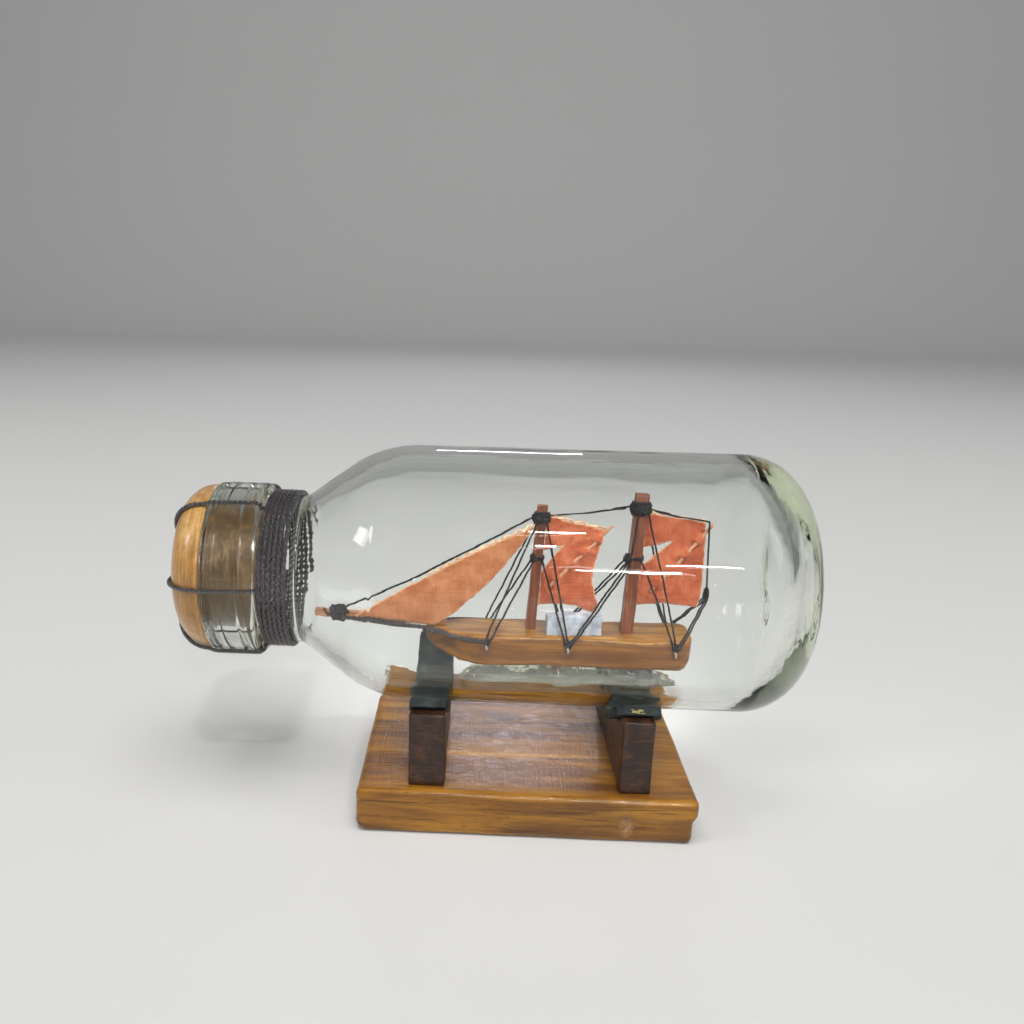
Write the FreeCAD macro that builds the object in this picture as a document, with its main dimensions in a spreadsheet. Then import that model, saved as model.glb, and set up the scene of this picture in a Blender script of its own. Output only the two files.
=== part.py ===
import math
import os
import re

import FreeCAD
import Part
import Sketcher

# A ship in a bottle on a wooden cradle.
# Row frame, millimetres: origin at the centre of the plate's underside, +Z up,
# +X along the bottle from its mouth to its base, the ship's port side towards -Y.
# Ship outlines are drawn in the ship's own frame: the same X and Y, with Z counted
# from the deck.

Vector = FreeCAD.Vector
Rotation = FreeCAD.Rotation
Placement = FreeCAD.Placement

doc = FreeCAD.newDocument("ShipInABottle")

# ---------------------------------------------------------------- driving sizes

SIZES = [
    ("plate_length", 69.0, "plate, along X"),
    ("plate_depth", 46.6, "plate, along Y"),
    ("plate_thick", 9.5, "plate"),
    ("plate_edge", 0.9, "rounding of the plate's edges"),
    ("upright_depth", 41.5, "cradle blocks, along Y"),
    ("upright_rise", 15.7, "cradle blocks, above the plate"),
    ("left_thick", 7.4, "left block, along X"),
    ("left_place", -20.4, "left block's middle"),
    ("right_thick", 6.3, "right block, along X"),
    ("right_place", 21.7, "right block's middle"),
    ("pad_thick", 2.1, "pad in a notch"),
    ("pad_gap", 0.25, "air between a pad and the glass"),
    ("pad_reach", 40.0, "half angle that a pad covers, in degrees"),
    ("left_pad_width", 8.0, "left pad, along X"),
    ("right_pad_width", 10.0, "right pad, along X"),
    ("nail_radius", 0.7, "nail shank"),
    ("nail_head_radius", 1.7, "nail head"),
    ("nail_head_thick", 0.6, "nail head"),
    ("nail_length", 17.0, "nail, head included"),
    ("nail_spacing", 24.0, "between a block's two nails"),
    ("axis_height", 48.5, "bottle axis above the underside"),
    ("body_radius", 27.0, "glass, outside"),
    ("wall", 2.2, "glass wall"),
    ("rim_place", -66.4, "the mouth's rim"),
    ("finish_radius", 18.0, "thick ring at the mouth"),
    ("finish_end", -55.7, "where that ring ends"),
    ("neck_radius", 15.75, "neck, outside"),
    ("neck_end", -48.4, "where the shoulder starts"),
    ("bore_radius", 13.2, "neck, inside"),
    ("shoulder_end", -23.84, "where the straight body starts"),
    ("shoulder_bend", 25.0, "radius of the shoulder's outward curve"),
    ("shoulder_run", 14.5, "length of that curve along X"),
    ("base_place", 55.8, "the bottle's base"),
    ("heel_bend", 13.0, "rounding between body and base"),
    ("floor_place", 51.4, "inner face of the base"),
    ("floor_dome", 1.2, "how far its middle stands up inside"),
    ("push_up", 1.8, "hollow under the base"),
    ("push_up_rise", 0.4, "how much shallower the hollow is at its edge"),
    ("push_up_radius", 10.6, "hollow, outer edge"),
    ("bearing_radius", 12.6, "inner edge of the ring that the bottle stands on"),
    ("mark_drop", 5.5, "raised ring mark, below the axis"),
    ("mark_radius", 3.6, "raised ring mark, outside"),
    ("mark_width", 0.6, "raised ring mark"),
    ("mark_rise", 0.4, "raised ring mark, above the hollow"),
    ("groove", 0.35, "depth of the grooves round the mouth"),
    ("lip_step", 0.1, "how much smaller the lip is"),
    ("stopper_front", -73.8, "domed front of the stopper"),
    ("stopper_radius", 17.5, "stopper head"),
    ("stopper_bend", 6.4, "rounding of the stopper's edge"),
    ("crown", 0.4, "how far the stopper's face is domed"),
    ("plug_end", -55.0, "inner end of the plug"),
    ("plug_gap", 0.05, "air between plug and bore"),
    ("cord_radius", 0.5, "waxed cord round the neck"),
    ("whip_pitch", 1.03, "turn to turn"),
    ("whip_turns", 6, "whole turns of the whipping"),
    ("whip_start", -55.15, "middle of the first turn"),
    ("leg_radius", 0.45, "cord over the stopper"),
    ("leg_gap", 0.05, "air between that cord and what it crosses"),
    ("leg_tuck", 1.2, "bend where a leg dives under the whipping"),
    ("knot_radius", 1.4, "knot where the legs meet"),
    ("leg_turn", 29.0, "turn of the six legs about the axis, in degrees"),
    ("deck_height", 36.7, "deck above the underside"),
    ("hull_bow", -21.5, "foremost point of the hull"),
    ("hull_stern", 34.1, "aftmost point of the hull"),
    ("half_beam", 5.6, "half the hull's width"),
    ("hull_depth", 7.2, "deck to keel"),
    ("bow_bend", 24.3, "curve of the bow's sides, from above"),
    ("bow_run", 14.5, "length of that curve along X"),
    ("nose", 0.9, "half the width of the blunt bow"),
    ("stem_rise", 1.8, "upright front of the bow, below the deck"),
    ("stern_bend", 2.6, "rounding of the stern's corners"),
    ("sprit_width", 1.6, "bowsprit, square"),
    ("sprit_tip", -45.7, "outer end of the bowsprit"),
    ("sprit_foot", -17.6, "inner end of the bowsprit"),
    ("sprit_lift", 1.1, "underside of its tip above the deck"),
    ("glue_line", 0.03, "glue under a part"),
    ("fore_width", 2.1, "foremast, square"),
    ("fore_rise", 27.3, "foremast above the deck"),
    ("fore_step", 0.45, "foremast's foot"),
    ("fore_rake", 1.35, "how far its head leans aft"),
    ("main_width", 2.6, "mainmast, square"),
    ("main_rise", 30.1, "mainmast above the deck"),
    ("main_step", 20.75, "mainmast's foot"),
    ("main_rake", 1.45, "how far its head leans aft"),
    ("sail_thick", 0.25, "sail cloth"),
    ("jib_offset", -1.0, "the jib's sheet lies beside the bowsprit"),
    ("gaff_radius", 0.5, "gaff sticks"),
    ("house_length", 11.5, "deckhouse, along X"),
    ("house_depth", 2.9, "deckhouse, along Y"),
    ("house_rise", 4.1, "deckhouse, height"),
    ("glue_width", 10.0, "clear glue bed, along Y"),
    ("thread_radius", 0.2, "rigging thread"),
    ("guy_radius", 0.6, "thick cord along the bow"),
    ("staple_radius", 0.3, "staple wire"),
    ("staple_rise", 2.3, "staple, height"),
    ("wrap", 0.55, "thickness of a thread lashing"),
]

sheet = doc.addObject("Spreadsheet::Sheet", "Sheet")
for line, (alias, number, meaning) in enumerate(SIZES, start=1):
    sheet.set(f"A{line}", meaning)
    sheet.set(f"B{line}", str(number))
    sheet.setAlias(f"B{line}", alias)
doc.recompute()

ALIASES = {alias for alias, number, meaning in SIZES}


def bound(text):
    """The same formula with each alias written as a cell of the sheet."""
    def cell(word):
        return "Sheet." + word.group() if word.group() in ALIASES else word.group()

    return re.sub(r"[a-z_]+", cell, text)


def size(text):
    """The value of a formula over the sheet's aliases."""
    return float(sheet.evalExpression(text))


# ---------------------------------------------------------------- helpers

parts = []
DECK = "deck_height"
AXIS = "axis_height"


def keep(thing, label, height="0"):
    """Gives a finished sub-part its name and its height above the underside."""
    thing.Label = label
    if height != "0":
        thing.setExpression("Placement.Base.z", bound(height))
    parts.append(thing)
    return thing


def plane(body, role):
    return [(next(f for f in body.Origin.OriginFeatures if f.Role == role), "")]


def new_sketch(body, name, role="XZ_Plane"):
    sketch = body.newObject("Sketcher::SketchObject", name)
    sketch.AttachmentSupport = plane(body, role)
    sketch.MapMode = "FlatFace"
    return sketch


def pin_point(sketch, edge, end, across, up):
    """Holds one end of an edge at a place given by two formulas."""
    for text, kind, axis in ((across, "DistanceX", -2), (up, "DistanceY", -1)):
        if text == "0":
            sketch.addConstraint(Sketcher.Constraint("PointOnObject", edge, end, axis))
            continue
        rule = sketch.addConstraint(Sketcher.Constraint(kind, -1, 1, edge, end, size(text)))
        sketch.setExpression(f"Constraints[{rule}]", bound(text))


def arc_between(start, end, radius):
    """The short arc from start to end; its centre is on the left if radius is positive."""
    middle = (start + end) * 0.5
    along = (end - start).normalize()
    left = Vector(-along.y, along.x, 0)
    rise = math.sqrt(radius ** 2 - (end - start).Length ** 2 / 4)
    centre = middle + left * math.copysign(rise, radius)
    angles = [math.atan2((p - centre).y, (p - centre).x) for p in (start, end)]
    if radius < 0:
        angles.reverse()
    circle = Part.Circle(centre, Vector(0, 0, 1), abs(radius))
    return Part.ArcOfCircle(circle, angles[0], angles[1])


def draw(sketch, corners):
    """A closed outline through the corners.

    A corner is (across, up) or (across, up, radius): with a radius, the stretch that
    ends there is an arc, its centre on the left of the way round if positive.
    """
    places = [Vector(size(c[0]), size(c[1]), 0) for c in corners]
    ends = []
    first = sketch.GeometryCount
    for number, corner in enumerate(corners):
        start, end = places[number - 1], places[number]
        if len(corner) == 2:
            sketch.addGeometry(Part.LineSegment(start, end))
            ends.append((1, 2))
            continue
        radius = size(corner[2])
        edge = sketch.addGeometry(arc_between(start, end, radius))
        ends.append((1, 2) if radius > 0 else (2, 1))
        rule = sketch.addConstraint(Sketcher.Constraint("Radius", edge, abs(radius)))
        sign = "" if radius > 0 else "-1 * "
        sketch.setExpression(f"Constraints[{rule}]", bound(f"{sign}({corner[2]})"))
    for number, corner in enumerate(corners):
        following = (number + 1) % len(corners)
        edge, edge_end = first + number, ends[number][1]
        sketch.addConstraint(
            Sketcher.Constraint("Coincident", edge, edge_end, first + following, ends[following][0])
        )
        pin_point(sketch, edge, edge_end, corner[0], corner[1])


def new_body(name):
    return doc.addObject("PartDesign::Body", name)


def pad(body, corners, length, role="XZ_Plane", name="Outline"):
    """A plate of this outline, half its length on each side of the plane."""
    sketch = new_sketch(body, name, role)
    draw(sketch, corners)
    feature = body.newObject("PartDesign::Pad", "Pad")
    feature.Profile = sketch
    feature.SideType = "Symmetric"
    feature.setExpression("Length", bound(length))
    return feature


def turn(body, corners, name="Section"):
    """A turned solid about the X axis."""
    sketch = new_sketch(body, name)
    draw(sketch, corners)
    feature = body.newObject("PartDesign::Revolution", "Revolution")
    feature.Profile = sketch
    feature.ReferenceAxis = (sketch, ["H_Axis"])
    feature.Angle = 360
    return feature


def rounded(body, base, edges, radius):
    fillet = body.newObject("PartDesign::Fillet", "Rounding")
    fillet.Base = (base, edges)
    fillet.setExpression("Radius", bound(radius))
    return fillet


def edge_names(feature, wanted):
    return [f"Edge{n}" for n, edge in enumerate(feature.Shape.Edges, start=1) if wanted(edge)]


def drill(body, places, radius, top, bottom, name):
    """Round holes along Z between two heights."""
    sketch = new_sketch(body, name, "XY_Plane")
    sketch.AttachmentOffset = Placement(Vector(0, 0, size(top)), Rotation())
    for across, along in places:
        circle = Part.Circle(Vector(size(across), size(along), 0), Vector(0, 0, 1), size(radius))
        edge = sketch.addGeometry(circle)
        rule = sketch.addConstraint(Sketcher.Constraint("Radius", edge, size(radius)))
        sketch.setExpression(f"Constraints[{rule}]", bound(radius))
        pin_point(sketch, edge, 3, across, along)
    before = body.Shape.Volume
    pocket = body.newObject("PartDesign::Pocket", name + "Pocket")
    pocket.Profile = sketch
    pocket.setExpression("Length", bound(f"({top}) - ({bottom})"))
    doc.recompute()
    if body.Shape.Volume >= before:
        raise RuntimeError(f"{name} cuts nothing")
    return pocket


def rod(start, end, radius, name="Rod"):
    """A round rod between two points."""
    way = end - start
    cylinder = doc.addObject("Part::Cylinder", name)
    cylinder.setExpression("Radius", bound(radius))
    cylinder.Height = way.Length
    cylinder.Placement = Placement(start, Rotation(Vector(0, 0, 1), way))
    return cylinder


def gather(label, members, height="0"):
    """Several solids in one node."""
    group = doc.addObject("Part::Compound", label)
    group.Links = members
    return keep(group, label, height)


def thread(label, routes, radius="thread_radius"):
    """Tight threads in the ship's frame; each route is a list of points."""
    members = []
    for route in routes:
        for start, end in zip(route, route[1:]):
            members.append(rod(start, end, radius))
    return gather(label, members, DECK)


def mirrored(route):
    """The same route on the other side of the ship."""
    return [Vector(p.x, -p.y, p.z) for p in route]


# ---------------------------------------------------------------- stand

NAIL_ROWS = ("nail_spacing / 2", "-nail_spacing / 2")
BLOCKS = {"left": ("left_place", "left_thick", "left_pad_width"),
          "right": ("right_place", "right_thick", "right_pad_width")}
NOTCH = "(body_radius + pad_gap + pad_thick)"
NOTCH_EDGE = f"sqrt({NOTCH} ^ 2 - (axis_height - plate_thick - upright_rise) ^ 2)"


def make_plate():
    body = new_body("StandPlate")
    corners = [("plate_length / 2", "-plate_depth / 2"), ("plate_length / 2", "plate_depth / 2"),
               ("-plate_length / 2", "plate_depth / 2"), ("-plate_length / 2", "-plate_depth / 2")]
    sketch = new_sketch(body, "Outline", "XY_Plane")
    draw(sketch, corners)
    block = body.newObject("PartDesign::Pad", "Pad")
    block.Profile = sketch
    block.setExpression("Length", bound("plate_thick"))
    doc.recompute()
    rounded(body, block, edge_names(block, lambda edge: edge.BoundBox.ZMax > 0.1), "plate_edge")
    doc.recompute()
    places = [(place, row) for place, thick, width in BLOCKS.values() for row in NAIL_ROWS]
    drill(body, places, "nail_radius", "plate_thick", "0", "Shanks")
    drill(body, places, "nail_head_radius", "nail_head_thick", "0", "Heads")
    return keep(body, "stand_plate")


def make_upright(side):
    """A block whose top is cut away by a cylinder about the bottle's axis."""
    place, thick, width = BLOCKS[side]
    body = new_body(f"Upright{side}")
    corners = [("upright_depth / 2", "plate_thick"),
               ("upright_depth / 2", "plate_thick + upright_rise"),
               (NOTCH_EDGE, "plate_thick + upright_rise"),
               (f"-({NOTCH_EDGE})", "plate_thick + upright_rise", f"-{NOTCH}"),
               ("-upright_depth / 2", "plate_thick + upright_rise"),
               ("-upright_depth / 2", "plate_thick")]
    pad(body, corners, thick, "YZ_Plane")
    doc.recompute()
    drill(body, [("0", row) for row in NAIL_ROWS], "nail_radius", "nail_length", "plate_thick", "Shanks")
    body.setExpression("Placement.Base.x", bound(place))
    return keep(body, f"upright_{side}")


def make_pad(side):
    """A bent strip, its inner face about the bottle's axis."""
    place, thick, width = BLOCKS[side]
    inner = "(body_radius + pad_gap)"
    across = "sin(pad_reach * 1deg)"
    down = "cos(pad_reach * 1deg)"
    body = new_body(f"Pad{side}")
    corners = [(f"{NOTCH} * {across}", f"-{NOTCH} * {down}", NOTCH),
               (f"{inner} * {across}", f"-{inner} * {down}"),
               (f"-{inner} * {across}", f"-{inner} * {down}", f"-{inner}"),
               (f"-{NOTCH} * {across}", f"-{NOTCH} * {down}")]
    pad(body, corners, width, "YZ_Plane")
    body.setExpression("Placement.Base.x", bound(place))
    return keep(body, f"pad_{side}", AXIS)


def make_nails():
    members = []
    for place, thick, width in BLOCKS.values():
        for row in NAIL_ROWS:
            foot = Vector(size(place), size(row), 0)
            head = rod(foot, foot + Vector(0, 0, size("nail_head_thick")), "nail_head_radius", "NailHead")
            start = foot + Vector(0, 0, size("nail_head_thick"))
            shank = rod(start, foot + Vector(0, 0, size("nail_length")), "nail_radius", "NailShank")
            nail = doc.addObject("Part::Fuse", "Nail")
            nail.Base = head
            nail.Tool = shank
            members.append(nail)
    return gather("upright_nails", members)


# ---------------------------------------------------------------- bottle

def make_bottle():
    """The glass: one turned section, outside from base to mouth and back inside."""
    slope = "(shoulder_run / sqrt(shoulder_bend ^ 2 - shoulder_run ^ 2))"
    drop = "(shoulder_bend - sqrt(shoulder_bend ^ 2 - shoulder_run ^ 2))"
    cone_foot = f"(shoulder_end - shoulder_run - (body_radius - {drop} - neck_radius - groove) / {slope})"
    inner_radius = "(body_radius - wall)"
    inner_run = "(shoulder_run * (shoulder_bend - wall) / shoulder_bend)"
    inner_drop = f"({drop} * (shoulder_bend - wall) / shoulder_bend)"
    inner_foot = f"(shoulder_end - {inner_run} - ({inner_radius} - {inner_drop} - bore_radius) / {slope})"
    inner_heel = "(heel_bend - wall)"
    corners = [
        ("base_place - push_up", "0"),
        ("base_place - push_up + push_up_rise", "push_up_radius"),
        ("base_place", "bearing_radius"),
        ("base_place", "body_radius - heel_bend"),
        ("base_place - heel_bend", "body_radius", "heel_bend"),
        ("shoulder_end", "body_radius"),
        ("shoulder_end - shoulder_run", f"body_radius - {drop}", "shoulder_bend"),
        (cone_foot, "neck_radius + groove"),
        ("neck_end", "neck_radius", "-2.45"),
        ("finish_end", "neck_radius"),
        ("finish_end", "finish_radius - 0.9"),
        ("finish_end - 0.9", "finish_radius", "0.9"),
        ("finish_end - 2.4", "finish_radius"),
        ("finish_end - 2.8", "finish_radius - groove"),
        ("finish_end - 3.2", "finish_radius"),
        ("rim_place + 3", "finish_radius"),
        ("rim_place + 2.6", "finish_radius - groove"),
        ("rim_place + 1.9", "finish_radius - groove"),
        ("rim_place + 1.5", "finish_radius - lip_step"),
        ("rim_place + 0.7", "finish_radius - lip_step"),
        ("rim_place", "finish_radius - 0.8", "0.7"),
        ("rim_place", "bore_radius + 0.4"),
        ("rim_place + 0.4", "bore_radius"),
        (inner_foot, "bore_radius"),
        (f"shoulder_end - {inner_run}", f"{inner_radius} - {inner_drop}"),
        ("shoulder_end", inner_radius, "-(shoulder_bend - wall)"),
        (f"floor_place - {inner_heel}", inner_radius),
        ("floor_place", f"{inner_radius} - {inner_heel}", f"-{inner_heel}"),
        ("floor_place - floor_dome", "0"),
    ]
    body = new_body("GlassBottle")
    turn(body, corners)
    doc.recompute()
    raised = new_sketch(body, "BaseMark", "YZ_Plane")
    raised.AttachmentOffset = Placement(Vector(0, 0, size("base_place - push_up - mark_rise")), Rotation())
    for reach in ("mark_radius", "(mark_radius - mark_width)"):
        centre = Vector(0, -size("mark_drop"), 0)
        edge = raised.addGeometry(Part.Circle(centre, Vector(0, 0, 1), size(reach)))
        rule = raised.addConstraint(Sketcher.Constraint("Radius", edge, size(reach)))
        raised.setExpression(f"Constraints[{rule}]", bound(reach))
        pin_point(raised, edge, 3, "0", "-mark_drop")
    mark = body.newObject("PartDesign::Pad", "Mark")
    mark.Profile = raised
    mark.setExpression("Length", bound("3 * mark_rise"))
    return keep(body, "glass_bottle", AXIS)


CROWN_BEND = "((stopper_radius - stopper_bend) ^ 2 + crown ^ 2) / (2 * crown)"


def make_stopper():
    """A domed head against the rim and a plug in the bore."""
    plug = "(bore_radius - plug_gap)"
    corners = [
        ("plug_end", "0"),
        ("plug_end", f"{plug} - 0.6"),
        ("plug_end - 0.6", plug, "0.6"),
        ("rim_place", plug),
        ("rim_place", "stopper_radius - 0.5"),
        ("rim_place - 0.5", "stopper_radius", "0.5"),
        ("stopper_front + crown + stopper_bend", "stopper_radius"),
        ("stopper_front + crown", "stopper_radius - stopper_bend", "stopper_bend"),
        ("stopper_front", "0", CROWN_BEND),
    ]
    body = new_body("Stopper")
    turn(body, corners)
    return keep(body, "stopper", AXIS)


WHIP_RADIUS = "neck_radius + cord_radius + 0.02"


def make_whipping():
    """One cord wound round the neck, side by side."""
    helix = doc.addObject("Part::Helix", "WhippingLine")
    helix.setExpression("Pitch", bound("whip_pitch"))
    helix.setExpression("Height", bound("whip_pitch * whip_turns"))
    helix.setExpression("Radius", bound(WHIP_RADIUS))
    section = doc.addObject("Part::Circle", "WhippingSection")
    section.setExpression("Radius", bound("cord_radius"))
    section.Placement = Placement(Vector(size(WHIP_RADIUS), 0, 0), Rotation(Vector(1, 0, 0), 90))
    sweep = doc.addObject("Part::Sweep", "Whipping")
    sweep.Sections = [section]
    sweep.Spine = (helix, [])
    sweep.Solid = True
    sweep.Frenet = True
    doc.recompute()
    sweep.Placement = Placement(Vector(size("whip_start"), 0, 0), Rotation(Vector(0, 1, 0), 90))
    return keep(sweep, "neck_whipping", AXIS)


def make_lashing():
    """Six legs of cord over the stopper, from a knot at its centre to the whipping."""
    body = new_body("StopperLashing")
    hug = "(leg_radius + leg_gap)"
    front = f"(stopper_front - {hug})"
    outer = f"(finish_radius + {hug})"
    stops = [(front, "1"),
             (f"{front} + crown", "stopper_radius - stopper_bend", f"-({CROWN_BEND} + {hug})"),
             ("stopper_front + crown + stopper_bend", f"stopper_radius + {hug}", f"-(stopper_bend + {hug})"),
             ("rim_place + 0.9", outer),
             ("finish_end + 0.6 - leg_tuck", outer),
             ("finish_end + 0.6", f"{outer} - leg_tuck", "-leg_tuck"),
             ("finish_end + 0.6", "neck_radius + 1.2")]
    path = new_sketch(body, "LegLine")
    places = [Vector(size(stop[0]), size(stop[1]), 0) for stop in stops]
    last_end = None
    for number, stop in enumerate(stops[1:]):
        if len(stop) == 2:
            edge = path.addGeometry(Part.LineSegment(places[number], places[number + 1]))
            start, end = 1, 2
        else:
            radius = size(stop[2])
            edge = path.addGeometry(arc_between(places[number], places[number + 1], radius))
            start, end = (2, 1) if radius < 0 else (1, 2)
            rule = path.addConstraint(Sketcher.Constraint("Radius", edge, -radius))
            path.setExpression(f"Constraints[{rule}]", bound(f"-1 * ({stop[2]})"))
        if last_end:
            path.addConstraint(Sketcher.Constraint("Coincident", edge - 1, last_end, edge, start))
        else:
            pin_point(path, edge, start, stops[0][0], stops[0][1])
        pin_point(path, edge, end, stop[0], stop[1])
        last_end = end
    section = new_sketch(body, "LegSection", "XY_Plane")
    section.AttachmentOffset = Placement(Vector(0, 0, 1), Rotation())
    circle = section.addGeometry(Part.Circle(Vector(size(front), 0, 0), Vector(0, 0, 1), size("leg_radius")))
    rule = section.addConstraint(Sketcher.Constraint("Radius", circle, size("leg_radius")))
    section.setExpression(f"Constraints[{rule}]", bound("leg_radius"))
    pin_point(section, circle, 3, front, "0")
    leg = body.newObject("PartDesign::AdditivePipe", "Leg")
    leg.Profile = section
    leg.Spine = (path, [])
    doc.recompute()
    legs = body.newObject("PartDesign::PolarPattern", "Legs")
    legs.Originals = [leg]
    legs.Axis = (path, ["H_Axis"])
    legs.Occurrences = 6
    legs.Angle = 360
    body.Tip = legs
    doc.recompute()
    turn(body, [(f"{front} + leg_radius", "0"),
                (f"{front} + leg_radius", "knot_radius"),
                (f"{front} - leg_radius", "knot_radius", "0.7"),
                (f"{front} - leg_radius", "0")], "KnotSection")
    body.Placement = Placement(Vector(0, 0, 0), Rotation(Vector(1, 0, 0), size("leg_turn")))
    return keep(body, "stopper_lashing", AXIS)


def make_glue_bed():
    """Clear glue that fills the space between hull and glass, with a wavy top edge."""
    body = new_body("GlueOutline")
    top = "-(hull_depth + 0.02)"
    corners = [("33", "-14"), ("32", "-10"), ("27.5", top, "-9"), ("21", top),
               ("13", top, "-7.5"), ("6.5", top), ("-1", top, "-8"), ("-8", top),
               ("-14.5", "-11", "-12"), ("-15", "-14")]
    pad(body, corners, "glue_width", "XZ_Plane")
    body.setExpression("Placement.Base.z", bound(DECK))
    inside = doc.addObject("Part::Cylinder", "InsideOfGlass")
    inside.setExpression("Radius", bound("body_radius - wall - 0.02"))
    inside.Height = 60
    inside.Placement = Placement(Vector(-20, 0, size("axis_height")), Rotation(Vector(0, 1, 0), 90))
    bed = doc.addObject("Part::Common", "GlueBed")
    bed.Base = body
    bed.Tool = inside
    return keep(bed, "glue_bed")


# ---------------------------------------------------------------- ship, wood

def make_hull():
    """Plan outline, with the forefoot cut away below and the bottom edges rounded."""
    body = new_body("Hull")
    corners = [("hull_stern", "-half_beam + stern_bend", "stern_bend"),
               ("hull_stern", "half_beam - stern_bend"),
               ("hull_stern - stern_bend", "half_beam", "stern_bend"),
               ("hull_bow + bow_run", "half_beam"),
               ("hull_bow", "nose", "bow_bend"),
               ("hull_bow", "-nose", "nose + 0.2"),
               ("hull_bow + bow_run", "-half_beam", "bow_bend"),
               ("hull_stern - stern_bend", "-half_beam")]
    plan = new_sketch(body, "Plan", "XY_Plane")
    draw(plan, corners)
    block = body.newObject("PartDesign::Pad", "Block")
    block.Profile = plan
    block.Reversed = True
    block.setExpression("Length", bound("hull_depth"))
    doc.recompute()
    before = body.Shape.Volume
    below = "-hull_depth - 2"
    cuts = {"Forefoot": [("hull_bow - 2", "-stem_rise"),
                         ("hull_bow + 0.2", "-stem_rise"),
                         ("hull_bow + 3.5", "-5", "5"),
                         ("hull_bow + 15.5", "-hull_depth", "34"),
                         ("hull_bow + 15.5", below),
                         ("hull_bow - 2", below)],
            "Counter": [("hull_stern + 2", "-hull_depth + stern_bend"),
                        ("hull_stern", "-hull_depth + stern_bend"),
                        ("hull_stern - stern_bend", "-hull_depth", "-stern_bend"),
                        ("hull_stern - stern_bend", below),
                        ("hull_stern + 2", below)]}
    for name, outline in cuts.items():
        sketch = new_sketch(body, name)
        draw(sketch, outline)
        cut = body.newObject("PartDesign::Pocket", f"{name}Cut")
        cut.Profile = sketch
        cut.SideType = "Symmetric"
        cut.setExpression("Length", bound("4 * half_beam"))
        doc.recompute()
    if body.Shape.Volume > before - 50:
        raise RuntimeError("the forefoot isn't cut")
    return keep(body, "hull", DECK)


def stick(label, foot, head, width, name):
    """A square stick in the ship's middle plane; foot and head are (x, z) formulas."""
    body = new_body(name)
    corners = [(f"{foot[0]} - {width} / 2", foot[1]), (f"{foot[0]} + {width} / 2", foot[1]),
               (f"{head[0]} + {width} / 2", head[1]), (f"{head[0]} - {width} / 2", head[1])]
    pad(body, corners, width)
    return keep(body, label, DECK)


def make_bowsprit():
    """A square stick that lies on the foredeck and rises a little over the bow."""
    body = new_body("Bowsprit")
    corners = [("sprit_foot", "glue_line"), ("sprit_foot", "glue_line + sprit_width"),
               ("sprit_tip", "sprit_lift + sprit_width"), ("sprit_tip", "sprit_lift")]
    pad(body, corners, "sprit_width")
    return keep(body, "bowsprit", DECK)


def make_deckhouse():
    body = new_body("Deckhouse")
    sketch = new_sketch(body, "Outline", "XY_Plane")
    draw(sketch, [("house_length / 2", "-house_depth / 2"), ("house_length / 2", "house_depth / 2"),
                  ("-house_length / 2", "house_depth / 2"), ("-house_length / 2", "-house_depth / 2")])
    block = body.newObject("PartDesign::Pad", "Pad")
    block.Profile = sketch
    block.setExpression("Length", bound("house_rise"))
    body.Placement = Placement(Vector(9.4, -2.2, 0), Rotation(Vector(0, 0, 1), 4))
    return keep(body, "deckhouse", DECK)


def along_mast(mast, rise):
    """The middle of a mast at a height above the deck."""
    step, rake, full = size(f"{mast}_step"), size(f"{mast}_rake"), size(f"{mast}_rise")
    return Vector(step + rake * rise / full, 0, rise)


# ---------------------------------------------------------------- ship, sails and gaffs

def luff(mast, rise):
    """Formulas for a point on a mast's aft face, a hair clear of it."""
    across = f"{mast}_step + {mast}_width / 2 + glue_line + {mast}_rake * {rise} / {mast}_rise"
    return (across, str(rise))


def make_sail(label, corners, offset="0"):
    body = new_body(label.title().replace("_", ""))
    pad(body, corners, "sail_thick")
    body.setExpression("Placement.Base.y", bound(offset))
    return keep(body, label, DECK)


def make_sails():
    make_sail("jib_sail", [("-20.2", "0.3", "-300"), ("0.45", "23.0", "72"),
                           ("-38.3", "1.3", "288")], "jib_offset")
    make_sail("fore_sail", [luff("fore", 4.8), ("9.7", "5.1", "-30"), ("13.6", "3.9"),
                            ("14.6", "5.5"), ("13.0", "11.3", "-30"), ("13.9", "17.0", "-40"),
                            ("14.9", "22.2", "40"), luff("fore", 25.2), luff("fore", 17.3),
                            ("6.4", "18.3"), luff("fore", 12.7)])
    make_sail("main_sail", [luff("main", 5.8), ("27.7", "6.5", "-60"), ("35.4", "5.8"),
                            ("36.0", "8.7"), ("36.1", "16.5"), ("35.9", "24.5"),
                            luff("main", 26.4), luff("main", 18.4), ("29.0", "20.1"),
                            luff("main", 14.7)])


def make_gaffs():
    """Sticks woven through slits in the sails."""
    for label, foot, head in (("fore_gaff", (4.0, 9.2), (16.6, 23.3)),
                              ("main_gaff", (25.0, 8.8), (37.3, 24.2))):
        start, end = [Vector(place[0], 0, place[1]) for place in (foot, head)]
        keep(rod(start, end, "gaff_radius", label), label, f"{DECK} + {start.z}")


# ---------------------------------------------------------------- ship, staples and lashings

STAPLE_PLACES = {"fore": -8.9, "mid": 8.2, "aft": 30.4}
STAPLE_MIDDLE = -2.2
STAPLE_STAND = 0.75
STAPLE_BITE = 1.3
QUARTER = Vector(37.0, 0, 8.7)
QUARTER_TILT = Vector(-0.08, 0, 1)
QUARTER_RADII = (1.5, 0.7, 0.7)
SPRIT_LASHING = Vector(-40.9, 0, 1.75)
SPRIT_LASHING_TILT = Vector(-1, 0, 0.04)
SPRIT_LASHING_RADII = (1.6, 2.0, 1.9)


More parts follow.
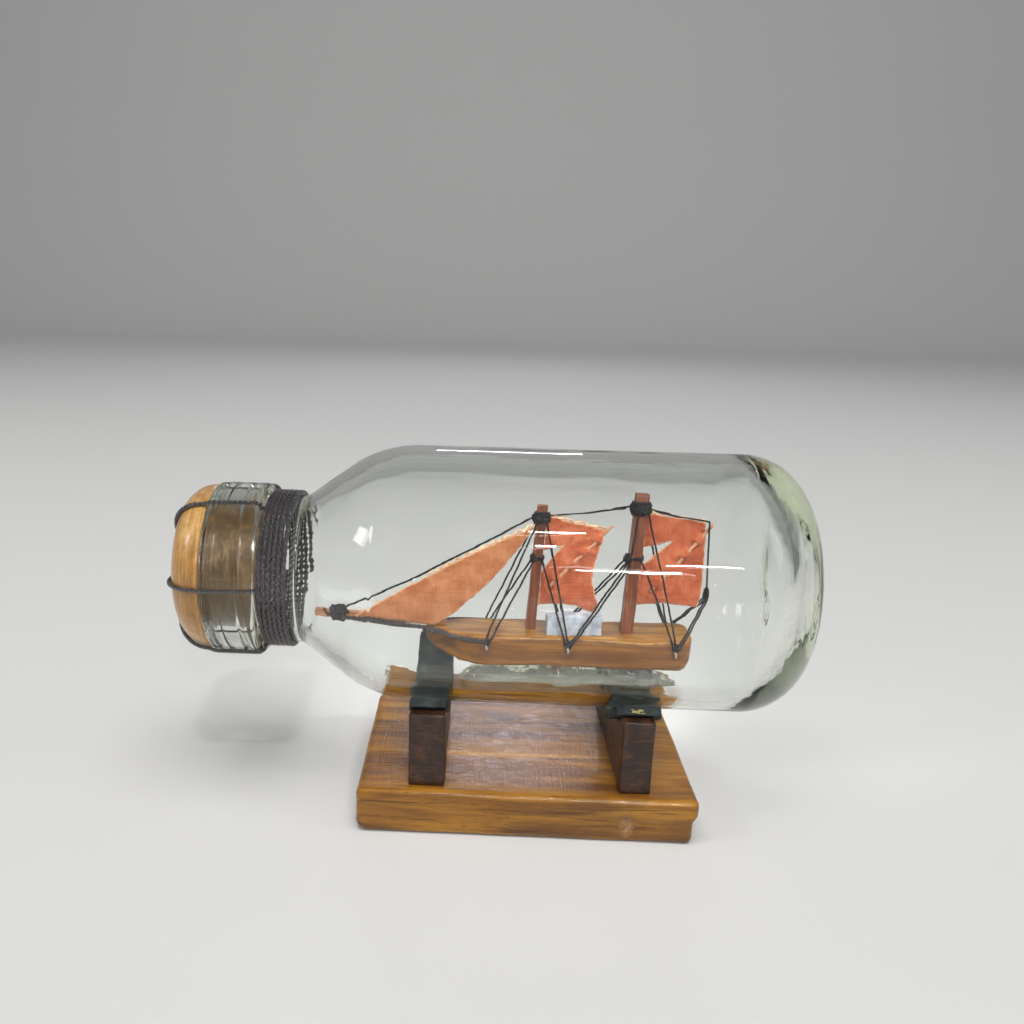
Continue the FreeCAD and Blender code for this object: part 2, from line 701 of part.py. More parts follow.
def make_staples(side, sign):
    """Upright wire staples driven into the hull's side."""
    members = []
    for across in STAPLE_PLACES.values():
        outer = sign * (size("half_beam") + STAPLE_STAND)
        inner = sign * (size("half_beam") - STAPLE_BITE)
        low = STAPLE_MIDDLE - size("staple_rise") / 2
        high = STAPLE_MIDDLE + size("staple_rise") / 2
        crown = rod(Vector(across, outer, low), Vector(across, outer, high),
                    "staple_radius", "StapleCrown")
        legs = [rod(Vector(across, outer, level), Vector(across, inner, level),
                    "staple_radius", "StapleLeg")
                for level in (low, high)]
        balls = []
        for level in (low, high):
            ball = doc.addObject("Part::Sphere", "StapleBend")
            ball.setExpression("Radius", bound("staple_radius"))
            ball.Placement = Placement(Vector(across, outer, level), Rotation())
            balls.append(ball)
        staple = doc.addObject("Part::MultiFuse", "Staple")
        staple.Shapes = [crown] + legs + balls
        members.append(staple)
    return gather(f"rail_staples_{side}", members, DECK)


def wound(label, mast, low, high):
    """Thread wound round a square mast: a sleeve with the mast's own section inside."""
    rise = high - low
    middle = along_mast(mast, low)
    width = size(f"{mast}_width")
    outer = doc.addObject("Part::Box", "LashingOutside")
    outer.setExpression("Length", bound(f"{mast}_width + 2 * wrap"))
    outer.setExpression("Width", bound(f"{mast}_width + 2 * wrap"))
    outer.Height = rise
    inner = doc.addObject("Part::Box", "LashingInside")
    inner.setExpression("Length", bound(f"{mast}_width + 2 * glue_line"))
    inner.setExpression("Width", bound(f"{mast}_width + 2 * glue_line"))
    inner.Height = rise + 2
    shift = width / 2 + size("wrap")
    lean = Rotation(Vector(0, 0, 1), along_mast(mast, high) - middle)
    outer.Placement = Placement(middle, lean).multiply(Placement(Vector(-shift, -shift, 0), Rotation()))
    hole = width / 2 + size("glue_line")
    inner.Placement = Placement(middle, lean).multiply(Placement(Vector(-hole, -hole, -1), Rotation()))
    sleeve = doc.addObject("Part::Cut", label)
    sleeve.Base = outer
    sleeve.Tool = inner
    return keep(sleeve, label, DECK)


def knot_of_thread(label, middle, tilt, radii):
    """A lump of wound thread: an ellipsoid, its first radius along the tilt."""
    ball = doc.addObject("Part::Ellipsoid", label)
    ball.Radius1, ball.Radius2, ball.Radius3 = radii
    ball.Placement = Placement(middle, Rotation(Vector(0, 0, 1), tilt))
    return keep(ball, label, f"{DECK} + {middle.z}")


def make_lashings():
    wound("foremast_head_lashing", "fore", 23.6, 25.9)
    wound("mainmast_head_lashing", "main", 25.8, 28.6)
    wound("foremast_mid_lashing", "fore", 15.1, 16.5)
    wound("mainmast_mid_lashing", "main", 15.7, 17.3)
    knot_of_thread("quarter_knot", QUARTER, QUARTER_TILT, QUARTER_RADII)
    knot_of_thread("bowsprit_lashing", SPRIT_LASHING, SPRIT_LASHING_TILT, SPRIT_LASHING_RADII)


# ---------------------------------------------------------------- ship, rigging

TIE_OUT = 6.35
TIE_UP = -1.1


def staple_tie(place):
    """Where the threads are tied to a port staple."""
    return Vector(STAPLE_PLACES[place], -TIE_OUT, TIE_UP)


def mast_side(mast, rise, forward=0.0):
    """Where a thread leaves a mast's port side."""
    middle = along_mast(mast, rise)
    return middle + Vector(-forward, -(size(f"{mast}_width") / 2 + 0.2), 0)


def make_rigging():
    fore_head, fore_mid = mast_side("fore", 24.4, 0.6), mast_side("fore", 15.8, 0.6)
    aft_head, aft_mid = mast_side("fore", 24.4, -1.0), mast_side("fore", 15.8, -0.8)
    main_head, main_mid = mast_side("main", 27.0, 0.4), mast_side("main", 16.4, 1.0)
    main_aft_head, main_aft_mid = mast_side("main", 27.0, -1.2), mast_side("main", 16.4, -1.0)
    fore, mid, aft = staple_tie("fore"), staple_tie("mid"), staple_tie("aft")
    beside = Vector(0.5, 0, 0)
    quarter = QUARTER + Vector(0, -0.45, -0.6)
    sets = {
        "foremast_shrouds": [[fore - beside, fore_head], [fore + beside, fore_mid]],
        "waist_lines": [[mid - beside, aft_mid], [mid, aft_head],
                        [mid + beside * 0.4, main_mid, main_head],
                        [mid + beside * 1.6, main_mid + Vector(0, 0.1, -1.3)]],
        "mainmast_shrouds": [[aft - beside, main_aft_mid], [aft, main_aft_head]],
        "quarter_lines": [[aft + beside * 0.6, quarter],
                          [aft + beside * 1.8, quarter + Vector(0.3, 0, -0.5)]],
    }
    for label, routes in sets.items():
        thread(f"{label}_port", routes)
        thread(f"{label}_starboard", [mirrored(route) for route in routes])
    guy = [Vector(STAPLE_PLACES["fore"], -6.45, -0.95), Vector(-15.0, -5.4, -0.6),
           Vector(-21.6, -2.5, -0.1), SPRIT_LASHING + Vector(0.4, -1.75, -0.2)]
    thread("guy_cord_port", [guy], "guy_radius")
    thread("guy_cord_starboard", [mirrored(guy)], "guy_radius")
    stay_head = along_mast("fore", 25.0) + Vector(-size("fore_width") / 2 - 0.2, 0, 0)
    thread("forestay", [[SPRIT_LASHING + Vector(0.8, 0, 1.3), stay_head]])
    thread("masthead_stay", [[along_mast("fore", 25.0) + Vector(size("fore_width") / 2 + 0.2, 0, 0),
                              along_mast("main", 27.4) + Vector(-size("main_width") / 2 - 0.2, 0, 0)]])
    peak = Vector(36.3, -0.8, 24.8)
    thread("peak_line", [[along_mast("main", 26.9) + Vector(size("main_width") / 2 + 0.2, 0, 0), peak]])
    thread("leech_line", [[peak + Vector(0, 0, -0.2), QUARTER + Vector(0, -0.2, 0.9)]])


# ---------------------------------------------------------------- the whole part

make_plate()
for side in BLOCKS:
    make_upright(side)
    make_pad(side)
make_nails()
make_bottle()
make_stopper()
make_whipping()
make_lashing()
make_glue_bed()
make_hull()
make_bowsprit()
stick("foremast", ("fore_step", "0"), ("(fore_step + fore_rake)", "fore_rise"), "fore_width", "Foremast")
stick("mainmast", ("main_step", "0"), ("(main_step + main_rake)", "main_rise"), "main_width", "Mainmast")
make_deckhouse()
make_sails()
make_gaffs()
make_staples("port", -1)
make_staples("starboard", 1)
make_lashings()
make_rigging()
doc.recompute()

for thing in doc.Objects:
    if "Invalid" in thing.State or "Error" in thing.State:
        raise RuntimeError(f"{thing.Label} failed: {thing.State}")
os.makedirs("parts", exist_ok=True)
for thing in parts:
    shape = thing.Shape
    if shape.isNull() or not shape.isValid() or not shape.Solids:
        raise RuntimeError(f"{thing.Label} has no valid solid")
    shape.exportStep(f"parts/{thing.Label}.step")
    box = shape.BoundBox
    print(f"{thing.Label:26s} solids {len(shape.Solids)} volume {shape.Volume:9.2f} "
          f"x {box.XMin:7.2f} {box.XMax:7.2f} y {box.YMin:7.2f} {box.YMax:7.2f} "
          f"z {box.ZMin:7.2f} {box.ZMax:7.2f}")
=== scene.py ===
"""Looks of the ship in a bottle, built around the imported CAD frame.

Lengths are metres in the row frame; MM turns millimetres into them. The bottle's axis runs
along X at AXIS above the floor, and the ship's deck lies at DECK.
"""

import math
import random

import bmesh
import bpy
from mathutils import Matrix, Vector, noise
from mathutils.geometry import delaunay_2d_cdt


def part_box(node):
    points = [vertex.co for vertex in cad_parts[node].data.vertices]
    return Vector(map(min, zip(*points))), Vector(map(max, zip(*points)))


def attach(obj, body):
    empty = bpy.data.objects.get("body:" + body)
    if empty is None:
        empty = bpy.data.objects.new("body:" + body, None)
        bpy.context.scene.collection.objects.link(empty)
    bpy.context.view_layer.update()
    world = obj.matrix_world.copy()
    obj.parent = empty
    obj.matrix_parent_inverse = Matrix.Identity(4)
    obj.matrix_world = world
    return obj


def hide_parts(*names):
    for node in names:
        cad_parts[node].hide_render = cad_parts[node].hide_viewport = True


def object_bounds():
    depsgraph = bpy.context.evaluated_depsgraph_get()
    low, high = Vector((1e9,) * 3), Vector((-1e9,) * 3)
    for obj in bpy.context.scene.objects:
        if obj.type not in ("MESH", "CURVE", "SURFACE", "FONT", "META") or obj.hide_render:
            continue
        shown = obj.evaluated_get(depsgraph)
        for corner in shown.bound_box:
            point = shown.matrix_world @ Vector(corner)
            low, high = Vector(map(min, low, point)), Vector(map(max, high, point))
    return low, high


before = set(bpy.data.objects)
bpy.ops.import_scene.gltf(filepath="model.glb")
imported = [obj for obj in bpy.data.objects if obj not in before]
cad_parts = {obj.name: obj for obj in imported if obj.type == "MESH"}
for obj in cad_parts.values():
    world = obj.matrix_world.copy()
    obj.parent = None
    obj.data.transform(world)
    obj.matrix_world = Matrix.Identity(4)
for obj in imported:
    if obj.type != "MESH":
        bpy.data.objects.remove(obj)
cad_low, cad_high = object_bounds()

MM = 0.001
glass_low, glass_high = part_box("glass_bottle")
plate_low, plate_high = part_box("stand_plate")
hull_low, hull_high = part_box("hull")
AXIS = (glass_low.z + glass_high.z) / 2
BODY_RADIUS = (glass_high.z - glass_low.z) / 2
DECK = hull_high.z
HALF_BEAM = (hull_high.y - hull_low.y) / 2
WALL = 2.2 * MM

scene = bpy.context.scene
dice = random.Random(7)
noise.seed_set(7)


# ---------------------------------------------------------------- camera, light, floor

EYE = Vector((-11.8, -193.6, 109.35)) * MM
YAW, PITCH, ROLL = -0.034, 0.269, 0.023
LENS = 33.44
SHIFT = (0.0653, 0.0263)


def make_camera():
    """The viewing angle: a little above the bottle and close to it."""
    ahead = Vector((math.sin(YAW) * math.cos(PITCH), math.cos(YAW) * math.cos(PITCH), -math.sin(PITCH)))
    level = Vector((math.cos(YAW), -math.sin(YAW), 0))
    upright = level.cross(ahead)
    right = math.cos(ROLL) * level + math.sin(ROLL) * upright
    up = math.cos(ROLL) * upright - math.sin(ROLL) * level
    data = bpy.data.cameras.new("Camera")
    data.lens = LENS
    data.sensor_width = 36
    data.shift_x, data.shift_y = SHIFT
    data.clip_start, data.clip_end = 0.01, 50
    camera = bpy.data.objects.new("Camera", data)
    camera.matrix_world = Matrix((
        (right.x, up.x, -ahead.x, EYE.x),
        (right.y, up.y, -ahead.y, EYE.y),
        (right.z, up.z, -ahead.z, EYE.z),
        (0, 0, 0, 1)))
    scene.collection.objects.link(camera)
    scene.camera = camera


def area_light(name, place, target, width, height, power, colour=(1, 1, 1)):
    data = bpy.data.lights.new(name, "AREA")
    data.shape = "RECTANGLE"
    data.size, data.size_y = width, height
    data.energy = power
    data.color = colour
    light = bpy.data.objects.new(name, data)
    light.location = place
    light.rotation_mode = "QUATERNION"
    light.rotation_quaternion = (Vector(target) - Vector(place)).to_track_quat("-Z", "Y")
    scene.collection.objects.link(light)
    return light


def make_lights():
    """A soft overhead, fainter sides, three tubes for streaks and a low strip the plate mirrors."""
    centre = (0, 0, AXIS)
    overhead = area_light("Overhead", (0.0, -0.35, 1.3), centre, 1.1, 0.7, 13, (1, 0.985, 0.955))
    overhead.visible_glossy = False
    overhead.visible_transmission = False
    area_light("Left", (-1.2, -0.5, 0.9), centre, 0.26, 0.3, 3.4, (1, 0.97, 0.93))
    area_light("Right", (1.3, -0.2, 0.7), centre, 0.4, 0.6, 1.6, (0.96, 0.98, 1))
    for name, across, rise, distance, length, power in (
            ("TubeLow", 0.33, 23, 2.0, 0.26, 7),
            ("TubeHigh", 0.168, 55, 2.0, 0.13, 6),
            ("TubeAft", 0.50, 29, 2.0, 0.14, 4),
            ("Spark", 0.15, 43, 2.0, 0.05, 1.6)):
        angle = math.radians(rise)
        place = (across, -distance * math.cos(angle), AXIS + distance * math.sin(angle))
        area_light(name, place, centre, length, 0.05, power)
    strip = area_light("Strip", (0.03, 1.05, 0.50), (0, 0, plate_high.z), 0.20, 0.045, 0.6, (0.86, 0.86, 1))
    strip.visible_camera = False
    strip.visible_transmission = False
    world = bpy.data.worlds.new("World")
    world.use_nodes = True
    background = world.node_tree.nodes["Background"]
    background.inputs["Color"].default_value = (0.95, 0.97, 1.0, 1)
    background.inputs["Strength"].default_value = 0.2
    scene.world = world
    scene.view_settings.view_transform = "Standard"


def make_floor():
    """A pale sweep: floor, a wide bend and a wall behind."""
    bend, far, high, half = 0.5, 1.4, 1.8, 3.0
    line = [(-3.0, 0.0), (far, 0.0)]
    line += [(far + bend * math.sin(a), bend - bend * math.cos(a)) for a in (math.radians(9 * n) for n in range(1, 11))]
    line.append((far + bend, high))
    verts = [(x, y, z) for y, z in line for x in (-half, half)]
    faces = [(2 * n, 2 * n + 1, 2 * n + 3, 2 * n + 2) for n in range(len(line) - 1)]
    mesh = bpy.data.meshes.new("Sweep")
    mesh.from_pydata(verts, [], faces)
    mesh.shade_smooth()
    sweep = bpy.data.objects.new("Sweep", mesh)
    scene.collection.objects.link(sweep)
    shade = Shade("SweepPaint", Roughness=0.9)
    shade.colour((0.60, 0.60, 0.595, 1))
    mesh.materials.append(shade.material)


# ---------------------------------------------------------------- materials

class Shade:
    """A Principled material and short ways to add the nodes it needs."""

    def __init__(self, name, **values):
        self.material = bpy.data.materials.new(name)
        self.material.use_nodes = True
        self.tree = self.material.node_tree
        self.shader = self.tree.nodes["Principled BSDF"]
        for key, value in values.items():
            self.shader.inputs[key.replace("_", " ")].default_value = value

    def node(self, kind, inputs=None, **settings):
        made = self.tree.nodes.new(kind)
        for key, value in settings.items():
            setattr(made, key, value)
        for key, value in (inputs or {}).items():
            if isinstance(value, bpy.types.NodeSocket):
                self.tree.links.new(value, made.inputs[key])
            else:
                made.inputs[key].default_value = value
        return made

    def place(self, scale=(1, 1, 1), turn=(0, 0, 0)):
        """Object coordinates in millimetres, times scale."""
        where = self.node("ShaderNodeTexCoord").outputs["Object"]
        per_metre = tuple(1000 * s for s in scale)
        return self.node("ShaderNodeMapping", {"Vector": where, "Scale": per_metre, "Rotation": turn}).outputs[0]

    def noise(self, where, scale, detail=4, rough=0.55, warp=0.0):
        made = self.node("ShaderNodeTexNoise", {"Vector": where, "Scale": scale, "Detail": detail,
                                                "Roughness": rough, "Distortion": warp})
        return made.outputs["Fac"]

    def wave(self, where, scale, warp=0.0, detail=2, direction="X", profile="SIN"):
        made = self.node("ShaderNodeTexWave", {"Vector": where, "Scale": scale, "Distortion": warp, "Detail": detail},
                         bands_direction=direction, wave_profile=profile)
        return made.outputs["Fac"]

    def ramp(self, factor, stops):
        made = self.node("ShaderNodeValToRGB", {"Fac": factor})
        band = made.color_ramp
        while len(band.elements) < len(stops):
            band.elements.new(0.5)
        for element, (at, colour) in zip(band.elements, stops):
            element.position = at
            element.color = colour if len(colour) == 4 else (*colour, 1)
        return made.outputs["Color"]

    def span(self, factor, low, high, to_low=0.0, to_high=1.0):
        made = self.node("ShaderNodeMapRange", {"Value": factor, "From Min": low, "From Max": high,
                                                "To Min": to_low, "To Max": to_high})
        return made.outputs["Result"]

    def maths(self, kind, first, second):
        return self.node("ShaderNodeMath", {0: first, 1: second}, operation=kind).outputs[0]

    def mix(self, factor, first, second, kind="MIX"):
        made = self.node("ShaderNodeMix", {"Factor": factor}, data_type="RGBA", blend_type=kind)
        for socket, value in ((made.inputs[6], first), (made.inputs[7], second)):
            if isinstance(value, bpy.types.NodeSocket):
                self.tree.links.new(value, socket)
            else:
                socket.default_value = value if len(value) == 4 else (*value, 1)
        return made.outputs[2]

    def colour(self, value):
        self.feed("Base Color", value)

    def feed(self, key, value):
        if isinstance(value, bpy.types.NodeSocket):
            self.tree.links.new(value, self.shader.inputs[key])
        else:
            self.shader.inputs[key].default_value = value

    def bump(self, height, depth, strength=1.0, after=None):
        """depth is in millimetres."""
        inputs = {"Height": height, "Distance": depth * MM, "Strength": strength}
        if after is not None:
            inputs["Normal"] = after
        made = self.node("ShaderNodeBump", inputs).outputs[0]
        self.feed("Normal", made)
        return made

    def edge_worn(self, colour, pale, radius):
        """Mixes in a paler colour where the surface bends sharply outward."""
        bend = self.node("ShaderNodeNewGeometry").outputs["Pointiness"]
        patch = self.noise(self.place(), 0.9, 4)
        amount = self.maths("MULTIPLY", self.span(bend, 0.5 + radius, 0.5 + radius * 3), self.span(patch, 0.35, 0.65))
        return self.mix(amount, colour, pale)


def wood(name, stops, along, ring=0.25, streak=0.05, fine=0.5, contrast=0.5, coat=0.5, rough=0.35, depth=0.03, worn=None):
    """Wood with growth bands, long streaks and pores, drawn out along one axis.

    along is "X", "Y" or "Z"; ring and fine are bands per millimetre across the grain.
    """
    shade = Shade(name, Coat_Weight=coat, Coat_Roughness=0.12, Specular_IOR_Level=0.45)
    slow = {"X": (streak, 1, 1), "Y": (1, streak, 1), "Z": (1, 1, streak)}[along]
    where = shade.place(slow)
    bands = shade.noise(where, ring, 5, 0.6, 0.6)
    lines = shade.noise(where, fine, 6, 0.7, 0.2)
    pores = shade.noise(shade.place(tuple(s * 3.2 if s == 1 else s * 6 for s in slow)), fine * 1.6, 2, 0.5)
    tone = shade.maths("ADD", shade.maths("MULTIPLY", bands, 1 - contrast * 0.5), shade.maths("MULTIPLY", lines, contrast * 0.5))
    colour = shade.ramp(shade.span(tone, 0.3, 0.68), stops)
    dark = shade.span(pores, 0.60, 0.72)
    colour = shade.mix(shade.maths("MULTIPLY", dark, 0.55), colour, tuple(c * 0.35 for c in stops[0][1]))
    if worn:
        colour = shade.edge_worn(colour, worn, 0.02)
    shade.colour(colour)
    shade.feed("Roughness", shade.span(lines, 0.3, 0.7, rough - 0.07, rough + 0.1))
    relief = shade.maths("SUBTRACT", lines, shade.maths("MULTIPLY", dark, 0.5))
    shade.bump(relief, depth)
    return shade


DENT = Vector((plate_low.x + 54.7 * MM, plate_low.y, 3.6 * MM))


def plate_wood():
    """Golden lacquered board: long grain, dark figure, faint saw marks and a pale patch at the dent, partly worn wood
    and partly a painted glint.
    """
    stops = [(0.0, (0.052, 0.017, 0.003)), (0.3, (0.16, 0.060, 0.007)),
             (0.6, (0.31, 0.132, 0.012)), (1.0, (0.50, 0.240, 0.026))]
    shade = wood("PlateWood", stops, "X", 0.2, 0.05, 0.9, 0.5, 0.42, 0.34, 0.02)
    shade.feed("Coat Roughness", 0.07)
    shade.feed("Specular IOR Level", 0.3)
    cloud = shade.noise(shade.place((0.035, 0.10, 0.16)), 1.0, 4, 0.55, 0.8)
    base = shade.shader.inputs["Base Color"].links[0].from_socket
    figure = shade.mix(shade.span(cloud, 0.46, 0.66, 0.0, 0.72), base, (0.085, 0.030, 0.007))
    streak = shade.noise(shade.place((0.045, 1.1, 1.1)), 1.0, 3, 0.6, 0.3)
    lined = shade.mix(shade.span(streak, 0.58, 0.68, 0.0, 0.7), figure, (0.050, 0.018, 0.005))
    # Pale patch round the dent: partly bared wood, partly a painted glint standing in for the light the dent catches.
    middle = (1.3 * DENT.x / MM, DENT.y / MM, 0.75 * DENT.z / MM)
    reach = shade.node("ShaderNodeVectorMath", {0: shade.place((1.3, 1, 0.75)), 1: middle}, operation="DISTANCE").outputs["Value"]
    chips = shade.noise(shade.place((1, 1, 0.7)), 2.6, 3, 0.6)
    dent_wear_and_glint = shade.maths("MULTIPLY", shade.span(reach, 0.4, 2.1, 0.6, 0.0), shade.span(chips, 0.36, 0.62))
    shade.colour(shade.mix(dent_wear_and_glint, lined, (0.66, 0.50, 0.33)))
    saw = shade.noise(shade.place((2.6, 0.12, 0.12)), 1.0, 2, 0.5)
    ridge = shade.noise(shade.place((0.08, 3.0, 3.0)), 1.0, 2, 0.5)
    wavy = shade.noise(shade.place((0.11, 0.14, 0.14)), 1.0, 2, 0.5)
    grainy = shade.maths("ADD", shade.maths("ADD", saw, ridge), shade.maths("MULTIPLY", wavy, 5.0))
    brushed = shade.maths("ADD", grainy, shade.maths("MULTIPLY", dent_wear_and_glint, 5.0))
    shade.bump(brushed, 0.022, 1.0, shade.shader.inputs["Normal"].links[0].from_socket)
    coat = shade.node("ShaderNodeBump", {"Height": brushed, "Distance": 0.055 * MM, "Strength": 1.0}).outputs[0]
    shade.feed("Coat Normal", coat)
    return shade.material


def block_wood():
    stops = [(0.0, (0.007, 0.003, 0.0015)), (0.5, (0.024, 0.009, 0.004)), (1.0, (0.070, 0.026, 0.010))]
    shade = wood("BlockWood", stops, "Y", 0.3, 0.12, 1.2, 0.6, 0.15, 0.42, 0.03)
    cuts = shade.noise(shade.place((0.25, 0.25, 2.6)), 1.0, 3, 0.5)
    base = shade.shader.inputs["Base Color"].links[0].from_socket
    shade.colour(shade.mix(shade.span(cuts, 0.55, 0.7, 0.0, 0.45), base, (0.12, 0.055, 0.026)))
    return shade.material


def stopper_wood():
    """Turned light wood; the growth layers run up and down, fine lines across the axis."""
    stops = [(0.0, (0.25, 0.115, 0.028)), (0.45, (0.50, 0.275, 0.085)), (1.0, (0.74, 0.49, 0.20))]
    shade = wood("StopperWood", stops, "Z", 0.22, 0.07, 1.5, 0.75, 0.5, 0.32, 0.03)
    turned = shade.noise(shade.place((3.2, 0.12, 0.03)), 1.0, 3, 0.6)
    base = shade.shader.inputs["Base Color"].links[0].from_socket
    low = shade.noise(shade.place((0.05, 0.05, 0.09)), 1.0, 2, 0.5)
    lined = shade.mix(shade.span(turned, 0.46, 0.66, 0.0, 0.62), base, (0.24, 0.095, 0.020))
    shade.colour(shade.mix(shade.span(low, 0.45, 0.7, 0.0, 0.4), lined, (0.30, 0.13, 0.035)))
    return shade.material


def shaded_plug_wood():
    """The same wood inside the neck, with darker colours painted in as the shade inside the neck."""
    stops = [(0.0, (0.022, 0.011, 0.003)), (0.5, (0.062, 0.034, 0.010)), (1.0, (0.150, 0.090, 0.032))]
    return wood("PlugWoodShaded", stops, "Z", 0.5, 0.07, 1.8, 0.7, 0.3, 0.4, 0.03).material


def hull_side():
    stops = [(0.0, (0.045, 0.013, 0.002)), (0.5, (0.165, 0.058, 0.006)), (1.0, (0.35, 0.145, 0.017))]
    return wood("HullSide", stops, "X", 0.5, 0.06, 2.2, 0.7, 0.15, 0.42, 0.04, (0.46, 0.24, 0.07)).material


def deck_wood():
    stops = [(0.0, (0.042, 0.012, 0.002)), (0.35, (0.20, 0.078, 0.008)),
             (0.7, (0.39, 0.178, 0.021)), (1.0, (0.58, 0.32, 0.066))]
    shade = wood("DeckWood", stops, "X", 0.8, 0.05, 2.0, 0.8, 0.15, 0.45, 0.05)
    grain = shade.noise(shade.place((0.10, 3.0, 1)), 1.0, 3, 0.6, 0.4)
    base = shade.shader.inputs["Base Color"].links[0].from_socket
    shade.colour(shade.mix(shade.span(grain, 0.56, 0.64, 0.0, 0.8), base, (0.055, 0.016, 0.003)))
    return shade.material


def mast_wood():
    stops = [(0.0, (0.036, 0.008, 0.003)), (0.5, (0.126, 0.031, 0.009)), (1.0, (0.29, 0.088, 0.030))]
    return wood("MastWood", stops, "Z", 0.9, 0.06, 3.0, 0.6, 0.2, 0.45, 0.03, (0.45, 0.2, 0.1)).material


def sprit_wood():
    stops = [(0.0, (0.16, 0.055, 0.02)), (0.5, (0.34, 0.14, 0.055)), (1.0, (0.52, 0.27, 0.13))]
    return wood("SpritWood", stops, "X", 0.9, 0.06, 3.0, 0.6, 0.2, 0.45, 0.03).material


def gaff_wood():
    stops = [(0.0, (0.28, 0.12, 0.055)), (0.5, (0.46, 0.23, 0.12)), (1.0, (0.62, 0.37, 0.22))]
    return wood("GaffWood", stops, "Z", 0.9, 0.3, 3.0, 0.6, 0.0, 0.6, 0.04).material


def clear_glass():
    """Bottle glass: clear, a little green where the light goes a long way through it."""
    shade = Shade("BottleGlass", Roughness=0.0, IOR=1.5, Transmission_Weight=1.0, Specular_Tint=(0.5, 0.5, 0.5, 1))
    shade.colour((0.985, 0.995, 0.99, 1))
    ripple = shade.noise(shade.place((0.05, 0.14, 0.14)), 1.0, 2, 0.45)
    drawn = shade.noise(shade.place((0.03, 0.45, 0.45)), 1.0, 2, 0.5)
    shade.bump(drawn, 0.02, 1.0, shade.bump(ripple, 0.10, 1.0))
    absorb = shade.node("ShaderNodeVolumeAbsorption", {"Color": (0.865, 0.895, 0.80, 1), "Density": 58.0})
    output = shade.tree.nodes["Material Output"]
    shade.tree.links.new(absorb.outputs[0], output.inputs["Volume"])
    return shade.material


def clear_glue():
    shade = Shade("ClearGlue", Roughness=0.06, IOR=1.45, Transmission_Weight=1.0)
    shade.colour((0.80, 0.82, 0.69, 1))
    lumps = shade.noise(shade.place(), 0.5, 3, 0.5)
    shade.bump(lumps, 0.25, 1.0)
    return shade.material


def waxed_cord():
    """Near-black waxed fibre with a purple cast; the strands are modelled."""
    shade = Shade("WaxedCord", Specular_IOR_Level=0.9, Sheen_Weight=0.12, Sheen_Roughness=0.35,
                  Coat_Weight=1.0, Coat_Roughness=0.16)
    tone = shade.noise(shade.place(), 0.5, 4, 0.6)
    fibres = shade.noise(shade.place((3, 8, 8)), 1.6, 3, 0.6)
    shade.colour(shade.ramp(shade.span(tone, 0.3, 0.7), [(0, (0.005, 0.003, 0.004)), (1, (0.026, 0.018, 0.021))]))
    shade.feed("Roughness", shade.span(fibres, 0.3, 0.7, 0.15, 0.34))
    shade.bump(fibres, 0.02)
    return shade.material


def black_thread():
    shade = Shade("BlackThread", Specular_IOR_Level=0.4, Sheen_Weight=0.05)
    fibres = shade.noise(shade.place(), 4.0, 3, 0.6)
    shade.colour(shade.ramp(fibres, [(0.3, (0.003, 0.003, 0.004)), (0.75, (0.016, 0.014, 0.017))]))
    shade.feed("Roughness", shade.span(fibres, 0.3, 0.7, 0.4, 0.65))
    shade.bump(fibres, 0.02)
    return shade.material


def cloth(name, deep, mid, light):
    """Plain-weave cloth in the ship's middle plane; pale where its edge is bare and frayed."""
    shade = Shade(name, Specular_IOR_Level=0.2, Sheen_Weight=0.2, Sheen_Roughness=0.5)
    where = shade.place()
    blot = shade.noise(where, 0.22, 5, 0.65, 0.4)
    warp = shade.wave(where, 0.95, 1.8, 3, "X")
    weft = shade.wave(where, 0.95, 1.8, 3, "Z")
    across = shade.noise(shade.place((0.2, 1, 2.8)), 1.0, 4, 0.65)
    along = shade.noise(shade.place((2.8, 1, 0.2)), 1.0, 4, 0.65)
    speck = shade.noise(where, 3.2, 3, 0.7)
    weave = shade.maths("MAXIMUM", warp, weft)
    colour = shade.ramp(shade.span(blot, 0.32, 0.66), [(0, deep), (0.5, mid), (1, light)])
    colour = shade.mix(shade.span(across, 0.5, 0.72, 0, 0.45), colour, light)
    colour = shade.mix(shade.span(along, 0.5, 0.72, 0, 0.5), colour, deep)
    colour = shade.mix(shade.span(speck, 0.56, 0.72, 0, 0.4), colour, light)
    colour = shade.mix(shade.span(weave, 0.0, 0.7, 0.22, 0.0), colour, tuple(c * 0.42 for c in deep))
    edge = shade.node("ShaderNodeAttribute", attribute_name="fray").outputs["Fac"]
    ragged = shade.maths("ADD", edge, shade.span(shade.noise(where, 1.2, 4), 0.3, 0.7, -0.4, 0.25))
    colour = shade.mix(shade.span(ragged, 0.55, 0.9, 0, 0.8), colour, (0.72, 0.42, 0.24, 1))
    shade.colour(colour)
    shade.feed("Roughness", shade.span(across, 0.3, 0.7, 0.72, 0.92))
    threads = shade.maths("ADD", shade.maths("ADD", across, along), speck)
    shade.bump(shade.maths("ADD", weave, threads), 0.09)
    return shade


def jib_cloth():
    return cloth("JibCloth", (0.33, 0.103, 0.038), (0.425, 0.150, 0.058), (0.55, 0.235, 0.108)).material


def sail_cloth():
    return cloth("SailCloth", (0.33, 0.066, 0.026), (0.455, 0.108, 0.045), (0.59, 0.185, 0.088)).material


def fray_fibre():
    shade = Shade("FrayFibre", Roughness=0.8, Sheen_Weight=0.4)
    tone = shade.noise(shade.place(), 0.8, 3)
    shade.colour(shade.ramp(tone, [(0.35, (0.52, 0.22, 0.09)), (0.6, (0.80, 0.56, 0.32))]))
    return shade.material


